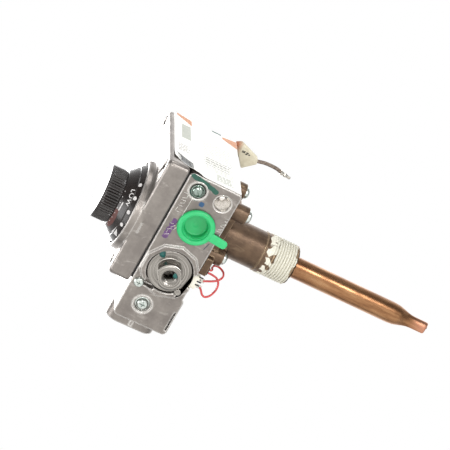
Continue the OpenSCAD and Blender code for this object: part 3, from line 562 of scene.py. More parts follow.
# Pipe thread of 14 turns to the inch: its crests grow out of the plain shank over 4.5 mm, and
# the coat is 0.3 mm of paste with flakes gone near its start
pitch = 1.814
u = np.linspace(0, 2 * np.pi, 168, endpoint=False)[None]
y = np.linspace(-10.6, 12.4, 190)[:, None]
lead_in = np.clip((y + 10.6) / 2.5, 0, 1) * np.clip((12.9 - y) / 1.6, 0.0, 1)
wave = np.abs(((y - pitch * u / (2 * np.pi)) / pitch) % 1.0 - 0.5) * 2
grown = np.clip((y + 6.0) / 4.5, 0, 1) + 0.12 * np.clip((y + 9.5) / 2, 0, 1)
thread = 13.35 - 1.05 * np.clip(1.35 * wave - 0.15, 0, 1) * np.clip(grown, 0, 1)
rough_spot = smooth_noise(u, y, 14, 3)
edge_line = -8.3 + 0.9 * np.sin(3 * u + 1.0) + 0.6 * np.sin(7 * u) + 0.4 * np.sin(13 * u + 2)
coat = np.clip((y - edge_line) / 0.5, 0, 1) * np.clip((11.1 - y + 0.4 * rough_spot) / 0.35, 0, 1)
bare = np.clip((smooth_noise(u, y, 26, 11) - 2.3) / 0.3, 0, 1)
near_start = np.clip((2.5 - y) / 6, 0, 1) * np.clip(np.cos(u - math.radians(250)) + 0.35, 0, 1)
wear_and_edge_highlight = np.clip((smooth_noise(u, y, 16, 5) + 0.9 * near_start - 1.15) / 0.25, 0, 1) * near_start
coat = coat * (1 - np.clip(bare + wear_and_edge_highlight, 0, 1))
radius = thread * (0.96 + 0.04 * lead_in) + coat * (0.3 + 0.1 * np.clip(wave, 0, 1)
                                                    + 0.012 * rough_spot)
chip = 0.16 * np.clip(smooth_noise(u, 0 * y, 30, 8), -1, 1) * (y > 11.6)
sleeve_points = np.stack([(radius + chip) * np.cos(u), y + 0 * u, (radius + chip) * np.sin(u)], -1)
start = sleeve_points[:1] * [0.93, 1, 0.93]
end = np.concatenate([
    np.stack([r * np.cos(u), h + 0 * u + 0.12 * smooth_noise(u, 0 * u, 22, 9) * (r > 9),
              r * np.sin(u)], -1)
    for r, h in [(12.5, 12.55), (11.9, 12.2), (11.2, 11.7), (9.0, 11.5), (7.3, 11.55), (7.2, 10.0)]])
ring_coat = np.concatenate([np.full((1, 168), v) for v in (0.25, 0.0, 0.0, 0.12, 0.2, 0.0)])
ring_coat = ring_coat * (0.6 + 0.6 * np.abs(smooth_noise(u, np.zeros((6, 1)), 24, 10)))
threaded = shell("sealed_thread", np.concatenate([start, sleeve_points, end]), bronze, "valve",
                 sharp=70, colour=np.concatenate([coat[:1] * 0, coat, ring_coat]), slot="bronze",
                 weld=False)
# Painted shade: a share that is one in the thread's grooves, where the sealant is drawn darker.
groove_shade_share = np.clip(1.7 * wave - 0.7, 0, 1) * np.clip(grown, 0, 1)
threaded.data.attributes.new("groove", "FLOAT", "POINT").data.foreach_set("value", np.concatenate(
    [groove_shade_share[:1], groove_shade_share, 0 * ring_coat]).astype(np.float32).ravel())

# Thread sealant paste over bronze: chalky cream where the attribute cover is one, with painted
# shade making the grooves darker, and bare brown metal where it has flaked
sealant = bronze.copy()
sealant.name = "cream_thread_sealant_on_bronze"
threaded.data.materials[0] = sealant
tree = sealant.node_tree
base = tree.nodes["Principled BSDF"]
cover_share = add(tree, "Attribute", attribute_name="cover").outputs["Fac"]
here = add(tree, "TexCoord").outputs["Object"]
chalk = add(tree, "TexNoise", Vector=here, Scale=900.0, Detail=5.0, Roughness=0.65)
cream = add(tree, "ValToRGB", Fac=chalk.outputs[0],
            stops=[(0.3, "#d3d0c1"), (0.5, "#dedbcd"), (0.72, "#e6e3d8")])
# Painted shade: the cream in the grooves is mixed towards grey.
groove_shade = add(tree, "Attribute", attribute_name="groove").outputs["Fac"]
cream = add(tree, "Mix", data_type="RGBA", i0=groove_shade, i6=cream.outputs[0], i7=srgb("#a09c8a"))
edge_mask = add(tree, "MapRange", i1=0.35, i2=0.6, Value=add(
    tree, "MixRGB", blend_type="ADD", Fac=0.25, Color1=cover_share,
    Color2=chalk.outputs[0]).outputs[0]).outputs[0]
under = base.inputs["Base Color"].links[0].from_socket
tree.links.new(add(tree, "Mix", data_type="RGBA", i0=edge_mask, i6=under,
                   i7=cream.outputs[2]).outputs[2], base.inputs["Base Color"])
tree.links.new(add(tree, "MapRange", Value=edge_mask, i3=0.85, i4=0.0).outputs[0],
               base.inputs["Metallic"])
next(n for n in tree.nodes if n.bl_idname == "ShaderNodeBump").inputs["Strength"].default_value = 0.35
gloss = base.inputs["Roughness"].links[0].from_socket
tree.links.new(add(tree, "Mix", i0=edge_mask, i2=gloss, i3=0.8).outputs[0],
               base.inputs["Roughness"])

# Drawn copper tube, hard soldered into the shank: brown oxide in long soft smears with pink
# fresh metal at the swaged tip, fine draw lines along its length
copper = bpy.data.materials.new("drawn_oxidised_copper")
copper.use_nodes = True
tree = copper.node_tree
base = tree.nodes["Principled BSDF"]
here = add(tree, "TexCoord").outputs["Object"]
smear = add(tree, "TexNoise", Scale=300.0, Detail=6.0, Roughness=0.6, Distortion=0.3,
            Vector=add(tree, "Mapping", Vector=here, Scale=(1.0, 0.16, 1.0)).outputs[0])
tone = add(tree, "ValToRGB", Fac=smear.outputs[0],
           stops=[(0.3, "#74533a"), (0.45, "#92694a"), (0.58, "#a47b58"), (0.75, "#b69270")])
heat = add(tree, "MapRange", Value=add(tree, "SeparateXYZ", Vector=here).outputs[1], i1=0.100,
           i2=0.114)
heat_spots = add(tree, "TexNoise", Vector=here, Scale=420.0, Detail=3.0)
near_root = add(tree, "MapRange", Value=add(tree, "SeparateXYZ", Vector=here).outputs[1], i1=0.034,
                i2=0.013)
root_tone = add(tree, "Mix", data_type="RGBA", i0=add(
    tree, "Math", operation="MULTIPLY", i0=near_root.outputs[0],
    i1=heat_spots.outputs[0]).outputs[0], i6=tone.outputs[0], i7=srgb("#6a4431"))
tree.links.new(add(tree, "Mix", data_type="RGBA", i0=add(
    tree, "Math", operation="MULTIPLY", i0=heat.outputs[0], i1=0.75).outputs[0],
    i6=root_tone.outputs[2], i7=srgb("#d79a82")).outputs[2], base.inputs["Base Color"])
base.inputs["Metallic"].default_value = 1.0
lines = add(tree, "TexNoise", Scale=1500.0, Detail=3.0,
            Vector=add(tree, "Mapping", Vector=here, Scale=(1.0, 0.05, 1.0)).outputs[0])
tree.links.new(add(tree, "MapRange", Value=smear.outputs[0], i1=0.3, i2=0.7, i3=0.36,
                   i4=0.25).outputs[0], base.inputs["Roughness"])
dents = add(tree, "TexNoise", Vector=here, Scale=130.0, Detail=2.0)
dented = add(tree, "Bump", Height=dents.outputs[0], Distance=0.0002, Strength=0.2)
tree.links.new(add(tree, "Bump", Height=lines.outputs[0], Distance=0.00002, Strength=1.0,
                   Normal=dented.outputs[0]).outputs[0], base.inputs["Normal"])

# Tube along y: round at 7.15 mm, then swaged by a smooth step to a flattened, twisted tip
u = np.linspace(0, 2 * np.pi, 96, endpoint=False)[None]
run = np.array([-0.5, 0.5, 20, 40, 60, 74, 78, 80.5, 82.5, 85, 88, 91, 94, 97, 99, 100.2, 100.8,
                101.1, 101.2])[:, None] + 12.5
swage = np.clip((run - 87.5) / 15.5, 0, 1)
swage = swage * swage * (3 - 2 * swage)
wide = 7.15 + (3.9 - 7.15) * swage
thick = 7.15 + (2.3 - 7.15) * swage
ends = np.interp(run, [112.4, 113.2, 113.55, 113.7], [1.0, 0.93, 0.7, 0.0])
lobe = 1 + 0.05 * swage * np.cos(2 * (u - 0.5))
points = np.stack([wide * ends * lobe * np.cos(u), run + 0.5 * swage * np.cos(u - 0.6),
                   thick * ends * lobe * np.sin(u)], -1)
tip_turn = np.radians(24) * swage
points = np.stack([points[..., 0] * np.cos(tip_turn) - points[..., 2] * np.sin(tip_turn),
                   points[..., 1],
                   points[..., 0] * np.sin(tip_turn) + points[..., 2] * np.cos(tip_turn)], -1)
shell("immersion_tube_drawn", points, copper, "valve", sharp=60, replaces=["immersion_tube"],
      slot="copper")

# --- Temperature dial ------------------------------------------------------------------------
# One glossy black phenolic moulding: ribbed grip on a conical skirt, pad-printed in white
# with dots, a hot mark and its arc. It pushes on to the D-shaped brass shaft.
phenolic = finish("moulded_black_phenolic", "#1c1817", "#27211f", 0.0, (0.2, 0.3), 7, 0.5, 0.012)


grip_r = 17.35
skirt_rim_r, skirt_rim_y, skirt_root_r, skirt_root_y = 26.75, -99.3, 18.6, -108.0


def ribs(u, r, h):
    """Grip radius raised by 0.8 |cos(30u)| mm between its two rims; elsewhere unchanged."""
    on_grip = np.clip((h + 118.1) / 0.5, 0, 1) * np.clip((-108.2 - h) / 0.4, 0, 1) * (r > 16)
    return r + on_grip * (0.8 * np.abs(np.cos(30 * u)) - 0.6)


grip_rows = [(grip_r, y) for y in np.linspace(-108.3, -118.0, 9)]
front = eased([(grip_r, -118.0), (17.25, -118.7), (16.4, -118.95), (14.6, -118.9), (11.0, -118.65),
               (5.6, -118.6), (4.6, -118.75), (0.0, -118.8)], 0.9)[1:]
skirt = eased([(24.4, -98.7), (26.7, -98.7), (skirt_rim_r, skirt_rim_y),
               (skirt_root_r, skirt_root_y), (17.75, -108.25), (grip_r, -108.3)], 0.35)
under = [(0.0, -104.0), (6.9, -104.0), (7.0, -103.9), (24.3, -102.6)]
turned("temperature_dial_moulding", np.vstack([under, skirt, grip_rows[1:], front]), (-8, 0, 0),
       "y", phenolic, "dial", sides=576, wave=ribs, sharp=45, replaces=["temperature_dial"],
       slot="black_plastic")

# Pad-printing ink: thin and even, slightly raised and matt beside the glossy moulding
white_ink = finish("white_pad_print_ink", "#d2d0ce", "#c4c2c2", 0.0, (0.5, 0.62), 1.5, 0.4, 0.01)
red_ink = finish("red_pad_print_ink", "#5a2b23", "#47221d", 0.0, (0.45, 0.6), 2, 0.5, 0.01)


def on_skirt(bearing, y, lift=0.06):
    """Point of the skirt cone at a bearing in degrees: r(y) on the straight line from rim to
    root, lifted by lift mm along the cone's normal (0.73, -0.68)."""
    bearing = np.radians(bearing)
    down = (y - skirt_rim_y) / (skirt_root_y - skirt_rim_y)
    r = skirt_rim_r + (skirt_root_r - skirt_rim_r) * down + lift * 0.73
    return np.stack([dial_axis[0] + r * np.cos(bearing), y - lift * 0.68 + 0 * r,
                     r * np.sin(bearing)], -1)


def printed(name, bearing, y, material, outline):
    """Ink patch: rings of a closed outline of (across, up) mm about a place on the skirt,
    carried round the cone; across is along the edge and up is towards the rim."""
    shrink = np.linspace(0, 1, 5)[:, None, None]
    spot = np.asarray(outline, float)[None] * shrink
    radius_there = skirt_rim_r - 0.937 * (skirt_rim_y - y)
    place = on_skirt(bearing + np.degrees(spot[..., 0] / radius_there),
                     y + spot[..., 1] * 0.73)
    return shell(name, place, material, "dial", weld=True)


round_dot = np.stack([np.cos(np.linspace(0, 2 * np.pi, 28, endpoint=False)),
                      np.sin(np.linspace(0, 2 * np.pi, 28, endpoint=False))], -1)
first_dot, dot_pitch, dot_radius, gap_for_mark = -37.2, 21.6, 1.3, 1.4
for step in range(13):
    place = first_dot - dot_pitch * (step if step < 4 else step + gap_for_mark)
    printed(f"skirt_dot_{step}", place, -101.1, white_ink, round_dot * dot_radius)
# Hot mark: a wedge of (bearing, y) corners; hot arc: a band that narrows to both its ends
corners = np.array([(-111.5, -102.6), (-131.5, -103.4), (-131.5, -99.5), (-124.0, -99.5)])
share = np.linspace(0, 1, 9)[:, None, None]
edges = corners[[0, 0]][None] + share * (corners[[1, 3]][None] - corners[[0, 0]][None])
across = np.linspace(0, 1, 7)[None, :, None]
fan = edges[:, :1] * (1 - across) + edges[:, 1:] * across
shell("hot_mark", on_skirt(fan[..., 0], fan[..., 1]), white_ink, "dial", closed=False)
bearing = np.linspace(-88, -136, 30)[None]
deep = np.linspace(-105.3, -107.9, 5)[:, None]
fade = 0.5 + 0.5 * np.cos(np.linspace(-1.2, 1.2, 30))[None]
shell("hot_arc", on_skirt(bearing, -107.9 + (deep + 107.9) * fade, 0.05), red_ink, "dial",
      closed=False)
shell("set_line", on_skirt(np.linspace(-71.5, -88, 12)[None] + 0 * deep,
                           -106.1 - 0.02 * (np.linspace(0, 11, 12) - 6)[None]
                           + np.linspace(-0.3, 0.3, 5)[:, None], 0.09), white_ink, "dial",
      closed=False)
first_pip, pip_pitch = -51.5, 11.3
for step in range(20):
    place = first_pip - pip_pitch * step
    pip = turned(f"rim_pip_{step}", eased([(0.32, 0), (0.3, 0.12), (0.0, 0.16)], 0.1), (0, 0, 0),
                 "z", white_ink, "dial", sides=12)
    turn = Matrix.Rotation(math.radians(-place), 4, "Y") @ Matrix.Rotation(math.radians(90), 4, "Y")
    at_pip = Vector(on_skirt(place, -107.4, 0.02).tolist()) / 1000
    pip.data.transform(Matrix.Translation(at_pip) @ turn)


def lettering(text, bearing, y, height):
    """Generic dial letters: the font's outline laid flat, then bent on to the skirt with its
    foot towards the grip."""
    curve = bpy.data.curves.new("dial_word_" + text.lower(), "FONT")
    curve.body, curve.size, curve.align_x, curve.align_y = text, height, "CENTER", "CENTER"
    curve.offset = 0.012 * height
    curve.space_character = 1.12
    block = bpy.data.objects.new("dial_word_" + text.lower(), curve)
    scene.collection.objects.link(block)
    bpy.context.view_layer.update()
    flat = bpy.data.meshes.new_from_object(
        block.evaluated_get(bpy.context.evaluated_depsgraph_get()))
    bpy.data.objects.remove(block)
    flat.name = "dial_word_" + text.lower()
    spot = np.empty(len(flat.vertices) * 3)
    flat.vertices.foreach_get("co", spot)
    spot = spot.reshape(-1, 3)
    letter_r = 22.8
    place = on_skirt(bearing - np.degrees(spot[:, 0] / letter_r), y + spot[:, 1] * 0.73)
    flat.vertices.foreach_set("co", (place / 1000).ravel())
    flat.materials.clear()
    flat.materials.append(white_ink)
    word = bpy.data.objects.new(flat.name, flat)
    scene.collection.objects.link(word)
    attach(word, "dial")


lettering("LOW", -59.5, -103.5, 4.6)
lettering("A", -167, -103.8, 3.6)
lettering("B", -189, -103.8, 3.6)
lettering("C", -211, -103.8, 3.6)

# --- Inner parts: springs, brass, magnet coil and cut-off switch --------------------------------
# Springs are wound from oiled wire and stand on their seats; shafts, seats and plugs are
# turned brass pushed or screwed into the body. Both are bright, the brass with fine tool marks.
spring_steel = finish("oiled_spring_steel", "#8d8b88", "#a3a09b", 1.0, (0.25, 0.4), 3, 0.3, 0.01)
brass = finish("turned_free_cutting_brass", "#b8964c", "#c9a960", 1.0, (0.22, 0.36), 5, 0.3, 0.01)
give(spring_steel, "dial_spring", "dial_clip", "knob_clip", "cock_spring", "regulator_spring",
     "thermostat_lever", "snap_disc", "spring_bridge", "magnet_core", "reset_rod",
     "expansion_rod", "inlet_screen")
give(brass, "dial_shaft", "snap_disc_ring", "main_valve_seat", "cock_plug", "regulator_seat",
     "regulator_valve", "pilot_filter")
give(copper, "magnet_coil")
give(aluminium, "eco_switch", "regulator_ring")


def sprung(node, side, fixed):
    """Coil spring in place of its node: a copy of its mesh in spring steel on the valve body.
    side, the axis it lies along, and fixed, the height of its standing end in m, set only an
    anchor that nothing uses."""
    coil = bpy.data.objects.new(f"{node}_coil", nodes[node].data.copy())
    coil.data.materials.clear()
    coil.data.materials.append(spring_steel)
    scene.collection.objects.link(coil)
    box = np.array(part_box(node))
    anchor = box.mean(0)
    anchor[side] = fixed
    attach(coil, "valve")
    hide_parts(node)
    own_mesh(coil)


sprung("reset_spring", 2, 0.054)
sprung("safety_valve_spring", 2, -0.002)
sprung("main_valve_spring", 1, -0.0743)

# --- Power unit: flame-failure magnet in its steel housing -------------------------------------
# Turned from plated steel bar and staked into the body. The disc keeps its turning marks, so
# light fans across it; the thermocouple nipple has two flats and a tapped hole.
turned_steel = bpy.data.materials.new("turned_plated_steel")
turned_steel.use_nodes = True
tree = turned_steel.node_tree
base = tree.nodes["Principled BSDF"]
lap = add(tree, "UVMap", uv_map="turning").outputs[0]
groove = add(tree, "TexNoise", Scale=1.0, Detail=4.0, Roughness=0.6,
             Vector=add(tree, "Mapping", Vector=lap, Scale=(1.5, 130.0, 1.0)).outputs[0])
tint = add(tree, "ValToRGB", Fac=groove.outputs[0],
           stops=[(0.3, "#5d5955"), (0.5, "#8f8b86"), (0.7, "#c9c5bf")])
tree.links.new(tint.outputs[0], base.inputs["Base Color"])
base.inputs["Metallic"].default_value = 1.0
base.inputs["Anisotropic"].default_value = 0.85
tree.links.new(add(tree, "MapRange", Value=groove.outputs[0], i1=0.3, i2=0.7, i3=0.2,
                   i4=0.3).outputs[0], base.inputs["Roughness"])
tree.links.new(add(tree, "Tangent", direction_type="UV_MAP", uv_map="turning").outputs[0],
               base.inputs["Tangent"])
tree.links.new(add(tree, "Bump", Height=groove.outputs[0], Distance=0.00003,
                   Strength=0.8).outputs[0], base.inputs["Normal"])


unit_at = (-26.4, -61, 0)
flat_gap, flat_bearing = 14.2, math.radians(62)


def flats(u, r, h):
    """Nipple radius cut to two flats: min(r, half the gap / |cos(u - bearing)|)."""
    across = np.abs(np.cos(u - flat_bearing))
    nipple = (h < -29.9) & (r > 5.4)
    return np.where(nipple, np.minimum(r, flat_gap / 2 / np.maximum(across, 1e-3)), r + 0 * u)


housing = eased([(14.3, -24.0), (14.3, -28.9), (13.7, -29.45), (9.5, -29.5), (8.95, -29.7),
                 (8.85, -30.3), (8.85, -37.6), (7.6, -38.4), (5.3, -38.4), (4.3, -37.5)], 0.35, 3)
thread_rows = np.array([(4.3 - 0.55 * (i % 2), -37.4 + 0.5 * i) for i in range(20)])
bottom = [(3.6, -27.6), (1.2, -27.3), (1.1, -29.4), (0.0, -29.6)]
turned("power_unit_turned", np.vstack([[(9.6, -23.4), (13.6, -23.4)], housing, thread_rows,
                                       bottom]), unit_at, "z", turned_steel, "valve",
       sides=144, wave=flats, sharp=28, slot="zinc_plate")
turned("magnet_can", eased([(0.0, -2.0), (9.6, -2.0), (9.6, -23.4), (8.9, -23.4), (8.9, -3.0),
                            (0.0, -3.0)], 0.5), unit_at, "z", zinc, "valve",
       replaces=["power_unit_housing"], slot="zinc_plate")
turned("stake_pin", eased([(0.0, -24.0), (2.3, -24.0), (2.3, -30.2), (1.8, -30.6), (0.9, -30.5),
                           (0.0, -30.35)], 0.35), (-36.8, -50.2, 0), "z", turned_steel, "valve",
       sides=40, replaces=["unit_pin"], slot="zinc_plate")

# --- Burner outlet: soft shipping plug ---------------------------------------------------------
# Dust plug moulded in low-density polyethylene, pushed into the outlet by hand and pulled out
# by its tab. Waxy, with the mould's rings left in its cup, and painted shade darkening the cup.
polyethylene = finish("moulded_green_polyethylene", "#27b068", "#30bb73", 0.0, (0.3, 0.42), 6, 0.5,
                      0.015)
tree = polyethylene.node_tree
base = tree.nodes["Principled BSDF"]
base.inputs["Subsurface Weight"].default_value = 0.12
base.inputs["Subsurface Radius"].default_value = (0.0006, 0.002, 0.001)
# Painted shade: the cup's inner wall, and less its floor, are mixed towards dark green as shade in the
# recess.
depth = add(tree, "SeparateXYZ", Vector=add(tree, "TexCoord").outputs["Object"]).outputs[2]
inside = add(tree, "MapRange", Value=depth, i1=-0.0296, i2=-0.0262).outputs[0]
waxy = base.inputs["Base Color"].links[0].from_socket
wall_shade_share = add(tree, "MapRange", Value=depth, i1=-0.0252, i2=-0.0256, i3=0.35).outputs[0]
shade = add(tree, "Math", operation="MULTIPLY", i0=inside, i1=wall_shade_share).outputs[0]
tree.links.new(add(tree, "Mix", data_type="RGBA", i0=shade, i6=waxy,
                   i7=srgb("#109550")).outputs[2], base.inputs["Base Color"])
outlet_at = (7.9, -60.5, 0)
turned("outlet_plug_moulding", eased([
    (0.0, -19.4), (7.9, -19.4), (8.34, -20.4), (8.34, -29.02), (11.6, -29.02), (12.0, -29.7),
    (11.75, -30.7), (10.8, -31.5), (9.2, -31.55), (8.55, -31.0), (8.3, -29.7), (8.0, -29.95),
    (7.75, -29.8), (7.75, -28.6), (7.6, -28.8), (7.45, -28.6), (7.3, -25.6),
    (6.6, -24.9), (2.2, -24.7), (0.9, -25.0), (0.0, -25.05)], 0.35), outlet_at, "z", polyethylene,
    "shipping_plug", sharp=70, replaces=["outlet_plug"], slot="green_plastic")


def slab(name, outline, low, high, ease, place, material, body, **more):
    """Flat piece on an anticlockwise outline of (across, up) mm between two heights. Its edges
    are rounded by drawing the outline in along its normals by ease (1 - sin t). place gives
    the origin and the directions of across, up and height."""
    p = np.asarray(outline, float)
    along = unit(np.roll(p, -1, 0) - np.roll(p, 1, 0))
    inward = np.stack([-along[:, 1], along[:, 0]], -1)
    t = np.linspace(0, np.pi / 2, 4)
    drop, rise = ease * (1 - np.sin(t)), ease * (1 - np.cos(t))
    rows = p[None] + inward[None] * np.concatenate([drop, drop[::-1]])[:, None, None]
    middle = np.broadcast_to(p.mean(0), (1,) + p.shape)
    flat = np.concatenate([middle, rows, middle])
    tall = np.concatenate([[low], low + rise, high - rise[::-1], [high]])
    grid = np.concatenate([flat, np.broadcast_to(tall[:, None, None], flat.shape[:2] + (1,))], -1)
    place = np.asarray(place, float)
    return shell(name, place[0] + grid @ place[1:], material, body, **more)


def outline(corners, radius, steps=6):
    """Closed outline with eased corners, begun in the middle of its last side."""
    p = np.asarray(corners, float)
    middle = (p[-1:] + p[:1]) / 2
    return eased(np.vstack([middle, p, middle]), radius, steps)[:-1]


slab("plug_pull_tab", outline([(10.4, -2.9), (22.6, -2.7), (22.6, 2.7), (10.4, 2.9)], 2.6),
     -31.2, -29.5, 0.5, [outlet_at, (-0.1203, 0.9927, 0), (-0.9927, -0.1203, 0), (0, 0, 1)],
     polyethylene, "shipping_plug")

# --- Pilot gas: adjusting screw and pilot outlet -------------------------------------------------
# The screw's domed head is plated bright and slotted; the pilot outlet beside it is a seat
# bored and coned in the casting, so it shines against the tumbled skin.
bright_plate = finish("bright_nickel_plate", "#8c9c94", "#a3b0a9", 1.0, (0.06, 0.14), 3, 0.4, 0.008)


def slotted(u, r, h):
    """Head sunk by 0.9 mm within 0.45 mm of a line at 68 degrees through its centre."""
    across = np.abs(r * np.sin(u - math.radians(-22)))
    return h + 0.9 * np.clip((0.62 - across) / 0.2, 0, 1) * (h < -30.1)


dome = [(3.4 * math.cos(t), -29.9 - 1.9 * math.sin(t)) for t in np.linspace(0.05, 1.55, 18)]
turned("pilot_screw_turned", np.vstack([eased([
    (0.0, -17.8), (2.2, -18.6), (2.2, -27.4), (4.3, -27.4), (4.35, -29.3), (4.1, -29.8),
    (3.8, -29.85), (3.6, -29.3), (3.42, -29.5)], 0.25), dome, [(0.0, -31.8)]]),
    (30, -70.7, 0), "z", bright_plate, "pilot_needle", sides=160, sink=slotted, sharp=60,
    replaces=["pilot_adjust_screw"], slot="zinc_plate")
fresh_cut = finish("freshly_bored_aluminium", "#dad6d1", "#e9e6e2", 0.82, (0.14, 0.28), 2, 0.3, 0.01)
turned("pilot_seat_bored", eased([
    (5.4, -22.0), (5.4, -28.7), (6.1, -29.02), (5.95, -29.12), (5.1, -28.5), (5.05, -25.4),
    (1.9, -21.2), (1.8, -18.6), (0.0, -18.5)], 0.15), (29, -53.3, 0), "z", fresh_cut, "valve",
    sides=96, sharp=40)

# --- Top controls: gas cock knob, reset button, regulator cap ------------------------------------
# Moulded knobs over the brass plug and the reset rod, and a turned cap screwed in over the
# regulator spring. The knob is the dial's black phenolic; the button is glossy red ABS.
casting("gas_knob_moulding", "gas_knob", phenolic, 0.5, body="cock")
red_abs = finish("moulded_red_abs", "#b4282a", "#c03230", 0.0, (0.25, 0.36), 5, 0.5, 0.012)
casting("reset_button_moulding", "reset_button", red_abs, 0.6, body="reset")
casting("regulator_cap_turned", "regulator_cap", zinc, 0.3)
for step, bearing in enumerate((90, 150, 210)):
    way = Vector((math.cos(math.radians(bearing)), math.sin(math.radians(bearing)), 0))
    slab(f"cock_mark_{step}", outline([(17.0, -0.5), (20.6, -0.5), (20.6, 0.5), (17.0, 0.5)], 0.4),
         56.9, 57.3, 0.2, [(0, -61, 0), way, way.cross(Vector((0, 0, -1))), (0, 0, 1)],
         aluminium, "valve")

# --- Energy cut-off terminals and the sensing lead's fittings -------------------------------------
# Off-white, waxy nylon block with two tinned push-on terminals, bright but soft in their
# shine; the test lead leaves a rubber gland, passes a paper flag and ends in an open crimp.
nylon = finish("moulded_natural_nylon", "#d9d5c6", "#e4e1d5", 0.0, (0.4, 0.55), 4, 0.5, 0.015)
casting("terminal_block_moulding", "terminal_block", nylon, 0.4)
tinned = finish("tinned_brass_strip", "#b9b5ad", "#cfccc5", 1.0, (0.22, 0.34), 2, 0.3, 0.01)
casting("eco_terminal_strips", "eco_terminals", tinned, 0.12)
casting("lead_gland_moulding", "lead_gland", nitrile, 0.7)
# Painted shade: three thin black slabs stand for the dark openings of the block's slots.
for step, x in enumerate((-27.4, -24.9, -21.6)):
    slab(f"block_slot_shade_{step}", outline([(-0.5, -1.5), (0.5, -1.5), (0.5, 1.5), (-0.5, 1.5)], 0.3),
         -28.52, -28.38, 0.05, [(x, -41.3, 0), (1, 0, 0), (0, 1, 0), (0, 0, 1)], nitrile, "valve")

# Folded kraft-backed flag: matt cream card, stained orange-brown where the gland's oil reached it
card = finish("matt_cream_card", "#cfc7ae", "#d9d2bc", 0.0, (0.7, 0.85), 3, 0.5, 0.03)
tree = card.node_tree
base = tree.nodes["Principled BSDF"]
spot = add(tree, "SeparateXYZ", Vector=add(tree, "TexCoord").outputs["Object"]).outputs
stain = add(tree, "MapRange", Value=spot[1], i1=-0.0395, i2=-0.0438)
plain = base.inputs["Base Color"].links[0].from_socket
tree.links.new(add(tree, "Mix", data_type="RGBA", i0=stain.outputs[0], i6=plain,
                   i7=srgb("#a8603a")).outputs[2], base.inputs["Base Color"])
flag = slab("lead_flag_folded", outline([
    (23.8, -34.0), (37.8, -45.2), (40.1, -41.2), (34.9, -27.0), (31.1, -25.8)], 1.1, 7),
    58.4, 63.8, 0.9, [(0, 0, 0), (1, 0, 0), (0, 1, 0), (0, 0, 1)], card, "valve",
    replaces=["lead_tag"], slot="paper_label")

# Crimp: an ellipse of half-sizes wide and thick along the lead, dented on its seam side
u = np.linspace(0, 2 * np.pi, 32, endpoint=False)[None]
run = np.array([-0.05, 0, 0.5, 1.6, 2.0, 2.3, 2.7, 3.3, 3.8, 4.2, 4.7, 5.2, 6.4, 7.6, 8.0, 8.1])[:, None]
knots = [0, 0.5, 1.6, 2.3, 3.3, 4.2, 5.2, 7.6, 8.1]
wide = np.interp(run, knots, [1.7, 1.6, 1.55, 1.15, 1.6, 1.5, 1.05, 1.0, 0.5])
thick = np.interp(run, knots, [1.7, 1.6, 1.5, 1.0, 1.45, 1.3, 0.55, 0.5, 0.3])
shut = np.where((run < 0) | (run > 8.05), 0.0, 1.0)
side = wide * shut * np.cos(u) * (1 - 0.14 * np.clip(np.sin(u), 0, 1) ** 8)
points = np.stack([32.3 + side * 0.990 - run * 0.139, -8.4 + run * 0.990 + side * 0.139,
                   62 + thick * shut * np.sin(u)], -1)
crimp = shell("crimp_barrel_formed", points, tinned, "valve", sharp=60,
              replaces=["lead_terminal"], slot="spring_steel")

# Sleeved test lead, 2.6 mm over a braided sleeve soaked in varnish: dull grey-brown with short
# light and dark strokes. It is stiff and held at the gland, so it stands out by itself.
sleeve = finish("varnished_braid_sleeve", "#5b4d45", "#8b7d70", 0.0, (0.5, 0.75), 1.6, 0.5, 0.12)
lay_cord("test_lead", [
    (30.7, -46, 60.4), (31, -40, 60.6), (31.5, -32, 61), (32.4, -26, 61.4), (33.5, -20, 61.8),
    (33.4, -12, 62), (32.2, -7.5, 62)],
    1.3, sleeve, "lead_wire", "valve")

# --- Rating label and marks ------------------------------------------------------------------------
# One glossy printed polyester label, glued over the cover's side and the block's side, its
# lower front corner cut off. Print is generic: bars for lines of text, blocks, a bar pattern.
polyester = finish("gloss_white_polyester_label", "#f4f3f0", "#edebe6", 0.0, (0.3, 0.42), 12, 0.8,
                   0.008)
SIDE = [(0, 0, 0), (0, 1, 0), (0, 0, 1), (1, 0, 0)]


label_x, cover_step, seam_y = 39.42, 1.0, -76.5
label_front, label_back, label_low, label_high, film = -92.0, -45.6, -27.8, 56.8, 0.14
cut_corner = [label_front, -86.0, -79.9], [-17.5, -22.5, -26.6]


def label_face(y, z):
    """x of the label's face: label_x on the block and a smooth step higher on the cover, lifted
    at the seam's lower end and at the cut front corner by Gaussian bumps."""
    share = np.clip((seam_y - y) / 3.5, 0, 1)
    step = share * share * (3 - 2 * share)
    curl = 1.5 * np.exp(-((y - seam_y) / 4.0) ** 2) * np.exp(-np.clip(z - label_low, 0, None) / 7)
    corner = 0.9 * np.exp(-((y - label_front) / 3.0) ** 2) * np.exp(-((z + 17.5) / 6.0) ** 2)
    return label_x + cover_step * step + curl + corner


y = np.concatenate([np.linspace(label_front, -70, 58), np.linspace(-69.5, label_back, 20)])[None]
bottom_edge = np.interp(y, cut_corner[0] + [-77.0, label_back], cut_corner[1] + [-27.6, label_low])
z = bottom_edge + (label_high - bottom_edge) * np.linspace(0, 1, 70)[:, None] ** 1.4
z = z - 0.25 * np.clip((z - 50) / 6.8, 0, 1) * (1 + np.sin(0.7 * y))
faces_grid = np.stack([label_face(y, z), y + 0 * z, z], -1)
backing = faces_grid - [film, 0, 0]
label_rim = np.concatenate([faces_grid, backing[::-1]])
label = shell("label_sheet", np.concatenate([label_rim, label_rim[:1]]), polyester, "valve",
              closed=False, sharp=60, replaces=["rating_label"], slot="paper_label")


